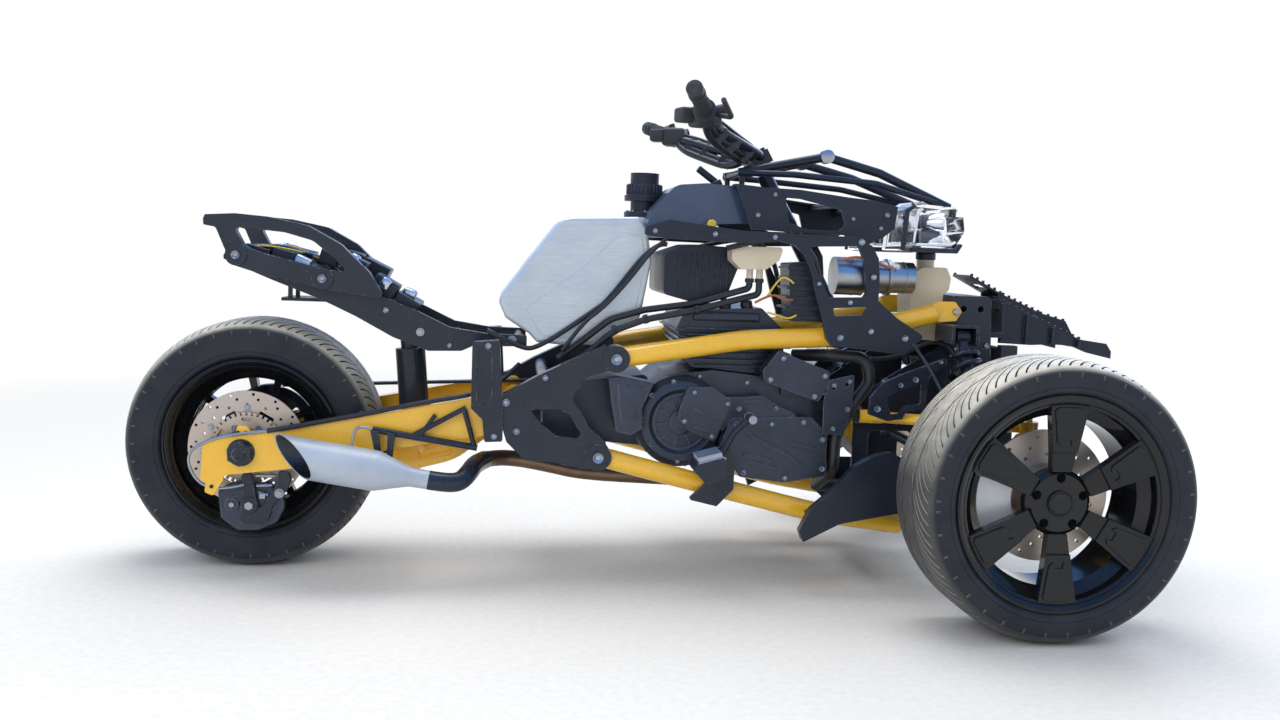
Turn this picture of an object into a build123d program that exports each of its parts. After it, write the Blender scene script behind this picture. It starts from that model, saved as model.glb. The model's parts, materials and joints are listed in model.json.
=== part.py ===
from build123d import *
from math import cos, hypot, radians, sin
import os

# Reverse trike stripped of bodywork and seat: two steered wheels in front, one driven wheel behind.
# Millimetres. While modelling, x runs forward, with the front axle at FRONT_AXLE_X, y to the vehicle's
# left, z up from the ground. At the end the origin is moved under the middle of the length.

# Driving sizes of the running gear
WHEELBASE = 1780
FRONT_AXLE_X = 1780
REAR_AXLE_X = FRONT_AXLE_X - WHEELBASE
TRACK = 1160
REAR_TYRE_R = 303
REAR_TYRE_WIDTH = 225
REAR_FLANGE_R = 208
FRONT_TYRE_R = 306
FRONT_TYRE_WIDTH = 225
FRONT_FLANGE_R = 233
RIM_EDGE_INSET = 9
FLANGE_HEIGHT = 17
FLANGE_THICKNESS = 6
RIM_WALL = 6
RIM_DROP = 24
TREAD_THICKNESS = 12

# Named clearances
SEAT_GAP = 0.5
RUNNING_FIT = 0.05
MOVING_GAP = 5

# Chassis widths, as distances from the centre plane
ARM_INNER_Y = 165
ARM_OUTER_Y = 210
CASTING_INNER_Y = 216
CASTING_OUTER_Y = 250
TUBE_Y = 222
TUBE_FRONT_Y = 205
TUBE_R = 24
BULKHEAD_Y = 172
PLATE = 6
CARRIER_INNER_Y = 247
CARRIER_OUTER_Y = 260
RAIL_INNER_Y = 135
RAIL_OUTER_Y = 165
SUBFRAME_INNER_Y = 118
SUBFRAME_OUTER_Y = 130
ENGINE_HALF_WIDTH = 172
COVER_Y = 228
TANK_HALF_WIDTH = 160
NOSE_TIP_X = 2142

# Bolt pattern of the tail tray
TRAY_X = 170
TRAY_PITCH_X = 140
TRAY_PITCH_Y = 60
TRAY_HOLE_R = 4.5
TRAY_Z = 2 * REAR_TYRE_R + 46
TRAY_THICKNESS = 8

# Swingarm and driveline
PIVOT_X = 632
PIVOT_Z = 405
PIVOT_R = 22
AXLE_R = 12.5
AXLE_END_Y = 232
DISC_R = 137
DISC_Y = -142
PULLEY_R = 112
FRONT_PULLEY_R = 48
FRONT_PULLEY_X = 740
FRONT_PULLEY_Z = 400
BELT_Y = 124
BELT_WIDTH = 28
BELT_THICKNESS = 7
CROSS_BOX_X = REAR_AXLE_X + REAR_TYRE_R + 33
CROSS_BOX_LENGTH = 68

# Front suspension and steering
KINGPIN_Y = TRACK / 2 - 90
LOWER_BALL_Z = 200
UPPER_BALL_Z = 440
BALL_PIN_R = 7
BALL_EYE_R = 20
BALL_EYE_HEIGHT = 30
ARM_TUBE_R = 14
ARM_PIVOT_Y = 198
ARM_PIVOT_FRONT_X = 1800
UPPER_PIVOT_REAR_X = 1506
UPPER_PIVOT_Z = 418
LOWER_PIVOT_REAR_X = 1520
BUSH_HALF = 30
LOWER_PIVOT_Z = 208
SPINDLE_R = 20
FRONT_DISC_R = 145
FRONT_DISC_THICKNESS = 8
STEERING_ARM_LENGTH = 110
TIE_ROD_Z = 328
TIE_ROD_R = 8
HEAD_X = 1232
HEAD_Z = 1045
HEAD_TILT = 30
GRIP_END_Y = 420
GRIP_R = 17
GRIP_LENGTH = 116
BAR_R = 11

ORIGIN_X = (NOSE_TIP_X + REAR_AXLE_X - REAR_TYRE_R) / 2


def face_at(points, y, radius=0):
    """Closed face in the plane at y from (x, z) corners, each rounded by its radius."""
    corners = [(x, y, z) for x, z in points]
    if radius:
        return make_face(FilletPolyline(*corners, radius=radius, close=True))
    return make_face(Polyline(*corners, close=True))


def slab(points, y_low, y_high, radius=0):
    """Plate of the (x, z) outline between two y planes."""
    return extrude(face_at(points, y_low, radius), amount=y_high - y_low, dir=(0, 1, 0))


def box(x, y, z):
    """Block between the low and high values of each axis."""
    size = [high - low for low, high in (x, y, z)]
    middle = [(high + low) / 2 for low, high in (x, y, z)]
    return Pos(*middle) * Box(*size)


def rod(start, end, radius):
    """Straight round bar between two points."""
    start, end = Vector(start), Vector(end)
    plane = Plane(origin=start, z_dir=end - start)
    return extrude(plane * Circle(radius), amount=(end - start).length)


def tube(points, radius, bends):
    """Round bar along straight runs joined by tangent arcs."""
    path = FilletPolyline(*points, radius=bends)
    return sweep(Plane(origin=path @ 0, z_dir=path % 0) * Circle(radius), path=path)


def turned(profile, radii=0):
    """Solid turned about the Y axis from (radius, y) corners."""
    corners = [(r, y, 0) for r, y in profile]
    if radii:
        outline = FilletPolyline(*corners, radius=radii, close=True)
    else:
        outline = Polyline(*corners, close=True)
    return revolve(make_face(outline), axis=Axis.Y)


def drum(x, z, radius, y_low, y_high):
    """Cylinder along Y."""
    return rod((x, y_low, z), (x, y_high, z), radius)


def around_y(shape, count, start=0):
    """Copies of a shape turned about the Y axis."""
    return [Rot(0, start + 360 * i / count, 0) * shape for i in range(count)]


def fused(shapes):
    """One shape from several that meet."""
    total = shapes[0]
    for shape in shapes[1:]:
        total = total + shape
    return total


def both_sides(shape):
    """The right-hand shape and its mirror image on the left."""
    return [shape, mirror(shape, about=Plane.XZ)]


# Wheels, each modelled about the Y axis with its outer face towards -Y

def tyre(outer_r, flange_r, width):
    """Hollow carcass: beads, bulging side walls, rounded shoulders and a flat tread."""
    half = width / 2
    seat_r = flange_r - FLANGE_HEIGHT + SEAT_GAP
    bead_y = half - RIM_EDGE_INSET - FLANGE_THICKNESS - SEAT_GAP
    # radius from the axle, distance from the centre plane, corner radius
    side = [
        (seat_r, bead_y - 14, 0),
        (seat_r, bead_y, 0),
        (flange_r + 1, bead_y, 0),
        (flange_r + 8, half - 2, 12),
        (outer_r - 12, half + 1, 22),
        (outer_r, half - 34, 60),
    ]
    inner = [
        (outer_r - TREAD_THICKNESS, half - 36, 20),
        (outer_r - TREAD_THICKNESS - 14, half - 9, 14),
        (flange_r + 12, half - 12, 10),
    ]
    ring = [(r, -y, c) for r, y, c in side] + [(r, y, c) for r, y, c in reversed(side)]
    ring += [(r, y, c) for r, y, c in reversed(inner)] + [(r, -y, c) for r, y, c in inner]
    return turned([(r, y) for r, y, c in ring], [c for r, y, c in ring])


def barrel(flange_r, width):
    """Rim barrel with two flanges, bead seats and a drop centre."""
    edge = width / 2 - RIM_EDGE_INSET
    seat = flange_r - FLANGE_HEIGHT
    drop = seat - RIM_DROP
    outside = [
        (flange_r, -edge),
        (flange_r, -edge + FLANGE_THICKNESS),
        (seat, -edge + FLANGE_THICKNESS),
        (seat, -edge + 36),
        (drop, -edge + 52),
        (drop, edge - 62),
        (seat, edge - 44),
        (seat, edge - FLANGE_THICKNESS),
        (flange_r, edge - FLANGE_THICKNESS),
        (flange_r, edge),
    ]
    inside = [
        (flange_r - RIM_WALL, edge),
        (seat - RIM_WALL, edge - 8),
        (seat - RIM_WALL, edge - 42),
        (drop - RIM_WALL, edge - 60),
        (drop - RIM_WALL, -edge + 50),
        (seat - RIM_WALL, -edge + 34),
        (seat - RIM_WALL, -edge + 10),
        (flange_r - RIM_WALL, -edge),
    ]
    return turned(outside + inside)


def spoke(side_profile, widths):
    """Radial bar: a (radius, y) side profile cut by a face outline of (radius, half width)."""
    side = make_face(Polyline(*[(0, y, r) for r, y in side_profile], close=True))
    across = extrude(side, amount=120, both=True, dir=(1, 0, 0))
    front = [(w, r) for r, w in widths] + [(-w, r) for r, w in reversed(widths)]
    return across & slab(front, -150, 150)


FRONT_EDGE = FRONT_TYRE_WIDTH / 2 - RIM_EDGE_INSET
FRONT_SEAT = FRONT_FLANGE_R - FLANGE_HEIGHT
FRONT_MOUNT_Y = -45
FRONT_HUB_FACE_Y = -80
HUB_R = 72
CAP_R = 28
LUG_CIRCLE_R = 54
LUG_HOLE_R = 10


def front_rim():
    """Six broad spokes that widen towards the rim, hub with five lug holes and a plain cap."""
    # radius, y: outer face then inner face, with a step in the outer face part way along
    root_r = HUB_R - 5
    side = [
        (root_r, FRONT_HUB_FACE_Y),
        (108, -84),
        (110, -89),
        (FRONT_SEAT, -FRONT_EDGE + 5),
        (FRONT_SEAT, -FRONT_EDGE + 26),
        (110, -66),
        (root_r, -58),
    ]
    # radius, half width
    widths = [(root_r, 21), (95, 25), (FRONT_SEAT, 43)]
    # the spoke's end follows the barrel, inside its wall
    arm = spoke(side, widths) & drum(0, 0, FRONT_SEAT - RIM_WALL / 2, -FRONT_EDGE, 0)
    spokes = around_y(arm, 6)
    hub = turned([
        (0, FRONT_HUB_FACE_Y - 5),
        (CAP_R - 4, FRONT_HUB_FACE_Y - 5),
        (CAP_R, FRONT_HUB_FACE_Y),
        (HUB_R - 10, FRONT_HUB_FACE_Y + 2),
        (HUB_R, FRONT_HUB_FACE_Y + 12),
        (HUB_R, FRONT_MOUNT_Y),
        (SPINDLE_R + RUNNING_FIT, FRONT_MOUNT_Y),
        (SPINDLE_R + RUNNING_FIT, FRONT_HUB_FACE_Y + 9),
        (0, FRONT_HUB_FACE_Y + 9),
    ])
    holes = around_y(drum(0, LUG_CIRCLE_R, LUG_HOLE_R, FRONT_HUB_FACE_Y - 10, FRONT_HUB_FACE_Y + 22), 5)
    return fused([barrel(FRONT_FLANGE_R, FRONT_TYRE_WIDTH), hub] + spokes) - holes


def front_disc():
    """Drilled ring on a hat that is bolted against the wheel's mounting face."""
    ring_low = -2
    ring_high = ring_low + FRONT_DISC_THICKNESS
    hat = turned([
        (SPINDLE_R + MOVING_GAP, FRONT_MOUNT_Y),
        (HUB_R, FRONT_MOUNT_Y),
        (HUB_R, ring_low),
        (FRONT_DISC_R, ring_low),
        (FRONT_DISC_R, ring_high),
        (HUB_R - 6, ring_high),
        (HUB_R - 6, FRONT_MOUNT_Y + 5),
        (SPINDLE_R + MOVING_GAP, FRONT_MOUNT_Y + 5),
    ])
    holes = []
    # hole circle radius, first angle
    for circle_r, start in ((92, 0), (110, 10), (130, 20)):
        hole = drum(0, circle_r, 4, ring_low - 1, ring_high + 1)
        holes += around_y(hole, 12, start)
    return hat - holes


REAR_SEAT = REAR_FLANGE_R - FLANGE_HEIGHT
REAR_HUB_R = 46
REAR_SPOKE_Y = 86


def rear_rim():
    """Deep dish seen from the right, with five pairs of thin spokes at the left."""
    side = [
        (38, REAR_SPOKE_Y - 30),
        (38, REAR_SPOKE_Y),
        (REAR_SEAT - 3, REAR_SPOKE_Y + 6),
        (REAR_SEAT - 3, REAR_SPOKE_Y - 22),
    ]
    widths = [(38, 8), (REAR_SEAT - 3, 10)]
    spokes = []
    for offset in (-13, 13):
        spokes += around_y(spoke(side, widths), 5, offset)
    hub = turned([
        (AXLE_R + RUNNING_FIT, DISC_Y + 3),
        (62, DISC_Y + 3),
        (62, DISC_Y + 13),
        (REAR_HUB_R, DISC_Y + 20),
        (REAR_HUB_R, REAR_SPOKE_Y),
        (60, REAR_SPOKE_Y + 6),
        (60, BELT_Y),
        (AXLE_R + RUNNING_FIT, BELT_Y),
    ])
    return fused([barrel(REAR_FLANGE_R, REAR_TYRE_WIDTH), hub] + spokes)


TONE_R = 87


def rear_disc():
    """Drilled ring on a windowed carrier, with a toothed ring in front of it."""
    y_in, y_out = DISC_Y + 3, DISC_Y - 3
    plate = turned([(40, y_in), (DISC_R, y_in), (DISC_R, y_out), (40, y_out)])
    cuts = []
    for circle_r, start in ((104, 0), (118, 12), (129, 6)):
        cuts += around_y(drum(0, circle_r, 3.5, y_out - 1, y_in + 1), 15, start)
    window = slab([(-14, 66), (14, 66), (20, 92), (-20, 92)], y_out - 20, y_in + 1, 4)
    cuts += around_y(window, 6, 30)
    teeth_y = y_out - 8
    spacer = turned([(50, y_out), (62, y_out), (62, teeth_y), (50, teeth_y)])
    tone = turned([(50, teeth_y + 4), (TONE_R, teeth_y + 4), (TONE_R, teeth_y), (50, teeth_y)])
    notch = box((-2.6, 2.6), (teeth_y - 1, teeth_y + 5), (TONE_R - 8, TONE_R + 2))
    tone = tone - around_y(notch, 40)
    slots = around_y(slab([(-11, 66), (11, 66), (13, 74), (-13, 74)], teeth_y - 1, teeth_y + 5, 3), 6)
    return fused([plate - cuts, spacer, tone - slots])


def rear_pulley():
    """Driven belt pulley with a web, six windows and two side flanges."""
    low, high = BELT_Y, BELT_Y + BELT_WIDTH + 6
    ring = turned([
        (PULLEY_R - 14, low),
        (PULLEY_R + 5, low),
        (PULLEY_R + 5, low + 2),
        (PULLEY_R, low + 2),
        (PULLEY_R, high),
        (PULLEY_R - 14, high),
    ])
    web = turned([
        (AXLE_R + 12, low),
        (PULLEY_R - 14, low + 8),
        (PULLEY_R - 14, low + 18),
        (AXLE_R + 12, low + 20),
    ])
    windows = around_y(slab([(-12, 48), (12, 48), (22, 88), (-22, 88)], low - 1, high + 1, 6), 6)
    return fused([ring, web - windows])


def placed(shape, x, y, z, left=False):
    """A wheel piece on its axle; the left one is the mirror image."""
    if left:
        shape = mirror(shape, about=Plane.XZ)
    return Pos(x, y, z) * shape


# Front suspension

def a_arm(ball_z, pivot_z, rear_x):
    """Two legs from bushed pivots to an eye for the ball joint."""
    eye_y = -KINGPIN_Y
    half = BALL_EYE_HEIGHT / 2
    eye = rod((FRONT_AXLE_X, eye_y, ball_z - half), (FRONT_AXLE_X, eye_y, ball_z + half), BALL_EYE_R)
    parts = [eye]
    for x in (rear_x, ARM_PIVOT_FRONT_X):
        parts.append(rod((x, -ARM_PIVOT_Y, pivot_z), (FRONT_AXLE_X, eye_y + 12, ball_z), ARM_TUBE_R))
        parts.append(rod((x - BUSH_HALF, -ARM_PIVOT_Y, pivot_z), (x + BUSH_HALF, -ARM_PIVOT_Y, pivot_z), ARM_TUBE_R + 3))
    bore = rod((FRONT_AXLE_X, eye_y, ball_z - 40), (FRONT_AXLE_X, eye_y, ball_z + 40), BALL_PIN_R + RUNNING_FIT)
    return fused(parts) - bore


SHOCK_EYE_Y = 262
SHOCK_TOP = (1702, -SHOCK_EYE_Y, 626)
SHOCK_FOOT = (1744, 98 - KINGPIN_Y, 242)
SPRING_R = 39
SPRING_TURNS = 8


def front_shock():
    """Coil-over damper: body, spring of closed rings and two eyes."""
    top, foot = Vector(SHOCK_TOP), Vector(SHOCK_FOOT)
    along = (foot - top).normalized()
    length = (foot - top).length
    body = rod(top + along * 14, foot - along * 14, 22)
    pitch = (length - 150) / SPRING_TURNS
    profile = [(0, 44), (SPRING_R, 44), (SPRING_R, 56)]
    bends = [0, 0, 0]
    for i in range(SPRING_TURNS):
        start = 60 + pitch * i
        profile += [(SPRING_R - 11, start), (SPRING_R - 11, start + pitch * 0.3), (SPRING_R, start + pitch * 0.35),
                    (SPRING_R, start + pitch * 0.85)]
        bends += [0, 0, 5, 5]
    profile += [(SPRING_R - 11, length - 90), (SPRING_R, length - 86), (SPRING_R, length - 74), (0, length - 74)]
    bends += [0, 0, 0, 0]
    spring = revolve(make_face(FilletPolyline(*[(r, 0, s) for r, s in profile], radius=bends, close=True)), axis=Axis.Z)
    spring = Plane(origin=top, z_dir=along) * spring
    eyes = [rod(p - Vector(16, 0, 0), p + Vector(16, 0, 0), 17) for p in (top, foot)]
    return fused([body, spring] + eyes)


CALIPER_INNER_R = 88
CALIPER_OUTER_R = 162
CALIPER_LOW_Y = -34
CALIPER_HIGH_Y = 42


def knuckle():
    """Upright between the ball joints, bearing housing, spindle, steering arm and caliper lugs."""
    axle_z = FRONT_TYRE_R
    kingpin_y = KINGPIN_Y - TRACK / 2
    low = LOWER_BALL_Z + BALL_EYE_HEIGHT / 2 + SEAT_GAP - axle_z
    high = UPPER_BALL_Z - BALL_EYE_HEIGHT / 2 - SEAT_GAP - axle_z
    y = -kingpin_y
    upright = slab([(-22, low), (22, low), (46, -30), (46, 34), (22, high), (-22, high), (-46, 34), (-46, -30)],
                   y - 24, y + 20, 10)
    housing = drum(0, 0, 43, -28, y)
    spindle = drum(0, 0, SPINDLE_R, FRONT_HUB_FACE_Y + 12, y)
    pins = [
        rod((0, y, low - BALL_EYE_HEIGHT - 8), (0, y, low + 4), BALL_PIN_R),
        rod((0, y, high - 4), (0, y, high + BALL_EYE_HEIGHT + 8), BALL_PIN_R),
    ]
    arm_top = TIE_ROD_Z - 12 - MOVING_GAP - axle_z
    arm = slab([(0, arm_top - 14), (0, arm_top), (-STEERING_ARM_LENGTH - 12, arm_top),
                (-STEERING_ARM_LENGTH - 12, arm_top - 12)], y - 14, y + 14)
    lug = slab([(-20, -62), (-20, 4), (-80, 4), (-128, 0), (-128, -48), (-80, -76)],
               CALIPER_HIGH_Y + SEAT_GAP, y - 20, [4, 1, 1, 4, 8, 8])
    return fused([upright, housing, spindle, arm, lug] + pins)


def caliper(centre_angle):
    """Block over the disc's rim, slotted for the disc, with a window at its back."""
    ring = turned([
        (CALIPER_INNER_R, CALIPER_LOW_Y),
        (CALIPER_OUTER_R, CALIPER_LOW_Y + 8),
        (CALIPER_OUTER_R, CALIPER_HIGH_Y),
        (CALIPER_INNER_R, CALIPER_HIGH_Y),
    ])
    wedge = slab([(0, 0), (-120, 240), (120, 240)], CALIPER_LOW_Y - 2, CALIPER_HIGH_Y + 2)
    slot = turned([
        (0, -2 - MOVING_GAP),
        (FRONT_DISC_R + MOVING_GAP, -2 - MOVING_GAP),
        (FRONT_DISC_R + MOVING_GAP, -2 + FRONT_DISC_THICKNESS + MOVING_GAP),
        (0, -2 + FRONT_DISC_THICKNESS + MOVING_GAP),
    ])
    return Rot(0, centre_angle, 0) * ((ring & wedge) - slot)


def tie_rods():
    """One sliding link: centre bar, two rods and an eye over each steering arm."""
    x = FRONT_AXLE_X - STEERING_ARM_LENGTH
    bar = rod((x, -KINGPIN_Y + 16, TIE_ROD_Z), (x, KINGPIN_Y - 16, TIE_ROD_Z), TIE_ROD_R)
    centre = rod((x, -120, TIE_ROD_Z), (x, 120, TIE_ROD_Z), TIE_ROD_R + 5)
    eyes = [rod((x, y, TIE_ROD_Z - 10), (x, y, TIE_ROD_Z + 10), 17) for y in (-KINGPIN_Y, KINGPIN_Y)]
    return fused([bar, centre] + eyes)


# Frame

TUBE_BEND = 600
UPPER_BOSS = (866, 548)
LOWER_BOSS = (830, 313)
BOSS_R = 32


def frame_tubes():
    """Upper and lower bent tubes of each side, from the rear bosses to the front bulkhead."""
    upper = tube([
        (UPPER_BOSS[0] + 20, -TUBE_Y, UPPER_BOSS[1] + 3),
        (1180, -TUBE_Y, 601),
        (1400, -TUBE_Y + 6, 613),
        (1650, -TUBE_FRONT_Y - 2, 677),
    ], TUBE_R, [TUBE_BEND, TUBE_BEND])
    lower = tube([
        (LOWER_BOSS[0] + 20, -TUBE_Y, LOWER_BOSS[1] - 6),
        (1060, -TUBE_Y, 255),
        (1366, -TUBE_Y, 182),
        (1590, -TUBE_FRONT_Y, 150),
    ], TUBE_R, [TUBE_BEND, TUBE_BEND])
    # the upper tube ends in a flattened ear that is bolted to the bulkhead
    ear = slab([
        (1616, 646), (1620, 690), (1660, 708), (1700, 708), (1718, 684), (1704, 661), (1660, 657),
    ], -TUBE_FRONT_Y - 8, -TUBE_FRONT_Y + 8, 6)
    spacer = drum(1702, 684, 11, -TUBE_FRONT_Y, -BULKHEAD_Y - PLATE - SEAT_GAP)
    bolt_hole = drum(1702, 684, 5.5, -300, -150)
    cut = fused([drum(x, z, BOSS_R + SEAT_GAP, -300, -150) for x, z in (UPPER_BOSS, LOWER_BOSS)])
    return both_sides(fused([upper - cut, ear, spacer]) - bolt_hole) + both_sides(lower - cut)


def rear_frame():
    """Windowed casting and bolted plate of each side, joined by the pivot tube and a cross tube."""
    casting = slab([
        (596, 400), (594, 457), (616, 465), (680, 503), (771, 548), (838, 580), (880, 526), (838, 516),
        (799, 504), (774, 472), (766, 448), (785, 423), (806, 385), (848, 349), (846, 289), (793, 284),
        (733, 298), (656, 304), (613, 346),
    ], -CASTING_OUTER_Y, -CASTING_INNER_Y, 4)
    window = slab([
        (666, 424), (735, 427), (760, 413), (788, 368), (780, 358), (731, 362), (692, 392),
    ], -260, -200, 4)
    bosses = [drum(x, z, BOSS_R, -CASTING_OUTER_Y - 4, -TUBE_Y + TUBE_R) for x, z in (UPPER_BOSS, LOWER_BOSS)]
    plate = slab([
        (529, 580), (592, 586), (604, 407), (604, 348), (562, 346), (556, 399), (529, 425),
    ], -CASTING_OUTER_Y - 8, -CASTING_INNER_Y - 4, 5)
    recess = slab([(540, 566), (574, 560), (577, 462), (571, 437), (542, 432)], -270, -CASTING_OUTER_Y - 4, 6)
    side = fused([casting - window, plate - recess] + bosses)
    pivot = drum(PIVOT_X, PIVOT_Z, PIVOT_R, -CASTING_INNER_Y, CASTING_INNER_Y)
    cross = drum(700, 486, 16, -CASTING_INNER_Y, CASTING_INNER_Y)
    return fused(both_sides(side) + [pivot, cross])


def front_bulkhead():
    """Welded box of two windowed side plates, cross beams and the lugs of the suspension arms."""
    side = slab([
        (1470, 160), (1470, 455), (1560, 520), (1690, 600), (1704, 722), (1806, 722), (1814, 560),
        (1846, 480), (1846, 150), (1500, 132),
    ], -BULKHEAD_Y - PLATE, -BULKHEAD_Y, 12)
    openings = [
        slab([(1510, 250), (1510, 380), (1620, 380), (1620, 250)], -200, -150, 14),
        slab([(1706, 250), (1706, 540), (1756, 540), (1756, 250)], -200, -150, 14),
        drum(FRONT_AXLE_X - STEERING_ARM_LENGTH, TIE_ROD_Z, TIE_ROD_R + 5 + MOVING_GAP, -200, -150),
        drum(1736, 690, 8, -200, -150),
        drum(1780, 690, 8, -200, -150),
    ]
    lugs = []
    # rear pivot x, pivot z
    for rear_x, z in ((UPPER_PIVOT_REAR_X, UPPER_PIVOT_Z), (LOWER_PIVOT_REAR_X, LOWER_PIVOT_Z)):
        for x in (rear_x, ARM_PIVOT_FRONT_X):
            for offset in (-BUSH_HALF - 8, BUSH_HALF + 1):
                lugs.append(box((x + offset, x + offset + 7), (-ARM_PIVOT_Y - 8, -BULKHEAD_Y), (z - 17, z + 17)))
    tower = slab([(1668, 606), (1668, 654), (1736, 654), (1736, 606)], -SHOCK_EYE_Y - 24, -BULKHEAD_Y, 6)
    tower = tower - slab([(1676, 500), (1676, 648), (1728, 648), (1728, 500)], -SHOCK_EYE_Y - 30, -BULKHEAD_Y - PLATE)
    lugs.append(tower)
    sides = both_sides(fused([side - openings] + lugs))
    beams = [
        box((1712, 1800), (-BULKHEAD_Y - 1, BULKHEAD_Y + 1), (640, 722)) -
        box((1718, 1794), (-BULKHEAD_Y - 9, BULKHEAD_Y + 9), (646, 716)),
        box((1500, 1570), (-BULKHEAD_Y - 1, BULKHEAD_Y + 1), (140, 190)),
        box((1750, 1822), (-BULKHEAD_Y - 1, BULKHEAD_Y + 1), (152, 190)),
        drum(1490, 425, 14, -BULKHEAD_Y - 1, BULKHEAD_Y + 1),
    ]
    return fused(sides + beams)


def tail_subframe():
    """Two side plates joined by cross bars, with two rods and posts that carry the drilled tray."""
    plate = slab([
        (-60, 764), (-7, 746), (124, 714), (230, 702), (300, 676), (385, 644), (470, 604), (560, 591),
        (656, 589), (656, 562), (527, 560), (499, 547), (420, 545), (335, 576), (246, 624), (168, 660),
        (47, 706), (-7, 728), (-60, 750),
    ], -SUBFRAME_OUTER_Y, -SUBFRAME_INNER_Y, 4)
    # x, z, radius of each cross bar
    bars = [(40, 720, 9), (330, 655, 12), (480, 575, 12), (636, 575, 11)]
    crosses = [drum(x, z, r, -SUBFRAME_OUTER_Y + 4, SUBFRAME_OUTER_Y - 4) for x, z, r in bars]
    (rear_x, rear_z, _), (front_x, front_z, _) = bars[:2]
    rods = [rod((rear_x, y, rear_z), (front_x, y, front_z), 6) for y in (-50, 50)]
    tray = box((60, 300), (-60, 60), (TRAY_Z, TRAY_Z + TRAY_THICKNESS))
    posts = []
    for x in (80, 280):
        rod_z = rear_z + (front_z - rear_z) * (x - rear_x) / (front_x - rear_x)
        for y in (-50, 50):
            posts.append(box((x - 5, x + 5), (y - 5, y + 5), (min(rod_z, TRAY_Z + 1), max(rod_z, TRAY_Z + 1))))
    holes = [rod((x, y, TRAY_Z - 10), (x, y, TRAY_Z + TRAY_THICKNESS + 10), TRAY_HOLE_R)
             for x in (TRAY_X - TRAY_PITCH_X / 2, TRAY_X + TRAY_PITCH_X / 2)
             for y in (-TRAY_PITCH_Y / 2, TRAY_PITCH_Y / 2)]
    return fused(both_sides(plate) + crosses + rods + posts + [tray - holes])


def grab_rails():
    """Cast rail of each side: curved handle, strut, lower bar and two bolted bosses."""
    outer = slab([
        (-98, 842), (-94, 852), (-26, 857), (48, 852), (139, 835), (215, 794), (248, 762), (282, 730),
        (312, 680), (302, 670), (206, 682), (40, 716), (-34, 738), (-70, 824), (-97, 828),
    ], -RAIL_OUTER_Y, -RAIL_INNER_Y, [4, 4, 60, 60, 60, 40, 40, 40, 5, 5, 20, 20, 8, 10, 4])
    opening = slab([
        (-29, 826), (86, 817), (151, 800), (194, 766), (222, 741), (224, 731), (190, 732), (40, 766),
        (8, 776), (-8, 786),
    ], -RAIL_OUTER_Y - 10, -RAIL_INNER_Y + 10, [6, 40, 40, 40, 4, 4, 20, 6, 6, 6])
    bosses = [drum(x, z, 25, -RAIL_OUTER_Y - 5, -SUBFRAME_OUTER_Y) for x, z in ((-23, 761), (174, 712))]
    return both_sides(fused([outer - opening] + bosses))


# Engine

def engine_case():
    """Crankcase with the gearbox lobe behind it."""
    case = slab([
        (935, 330), (935, 450), (1000, 505), (1110, 520), (1260, 505), (1405, 462), (1432, 300),
        (1230, 262), (1030, 292),
    ], -ENGINE_HALF_WIDTH, ENGINE_HALF_WIDTH, 16)
    lobe = slab([(700, 340), (700, 455), (790, 480), (960, 500), (960, 320)], -110, 118, 16)
    output = drum(FRONT_PULLEY_X, FRONT_PULLEY_Z, 20, 100, BELT_Y + BELT_WIDTH + 16)
    pulley = drum(FRONT_PULLEY_X, FRONT_PULLEY_Z, FRONT_PULLEY_R, BELT_Y, BELT_Y + BELT_WIDTH + 4)
    return fused([case, lobe, output, pulley])


def engine_covers():
    """Dished clutch cover with a face plate and angular front covers at the right, generator cover at
    the left, oil cooler and its bracket."""
    inner = -ENGINE_HALF_WIDTH
    dish = [(0, 0), (112, 0), (112, -22), (98, -38), (80, -42), (72, -34), (0, -34)]
    clutch = Pos(1032, inner, 396) * turned(dish, [0, 0, 10, 8, 4, 6, 0])
    face_plate = slab([
        (1044, 483), (1101, 485), (1151, 452), (1145, 435), (1111, 352), (1048, 378), (1019, 412), (1028, 446),
    ], -COVER_Y - 2, inner, 6)
    middle = slab([
        (1108, 459), (1184, 461), (1225, 466), (1275, 439), (1311, 423), (1318, 400), (1152, 400), (1130, 370),
    ], -COVER_Y + 12, inner, 5)
    front = slab([
        (1152, 409), (1346, 416), (1391, 376), (1393, 271), (1285, 254), (1179, 266), (1124, 336),
    ], -COVER_Y + 5, inner, 10)
    left = Pos(1120, -inner, 400) * turned([(0, 0), (100, 0), (100, 22), (84, 40), (0, 40)], [0, 0, 10, 10, 0])
    cooler = slab([
        (1258, 578), (1387, 530), (1385, 498), (1362, 456), (1227, 502), (1222, 529),
    ], -COVER_Y - 8, -190, 6)
    stay = box((1280, 1330), (-191, inner), (466, 505))
    bracket = slab([
        (1387, 509), (1449, 524), (1446, 442), (1429, 375), (1376, 378), (1375, 461),
    ], -COVER_Y - 8, -COVER_Y - 2, 4)
    bracket_stay = box((1384, 1402), (-COVER_Y - 3, inner - SEAT_GAP), (428, 452))
    bolts = [drum(x, z, 5, -250, -200) for x, z in ((1400, 490), (1432, 500))]
    return [fused([clutch, face_plate, middle, front]), left, fused([cooler, stay]),
            fused([bracket, bracket_stay]) - bolts]


def cylinder_head():
    """Three cylinders in line, leaning back, with fins and a cam cover."""
    block = slab([
        (1062, 524), (1020, 620), (1040, 665), (1230, 675), (1290, 620), (1290, 500), (1262, 507), (1112, 522),
    ], -150, 150, [4, 10, 10, 10, 10, 2, 2, 2])
    fins = [slab([(1050 - 8 * i, 540 + 18 * i), (1046 - 8 * i, 546 + 18 * i), (1306, 546 + 18 * i),
                  (1306, 540 + 18 * i)], -158, 158) for i in range(5)]
    return fused([block] + fins)


# Tank, boxes and bottles

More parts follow.
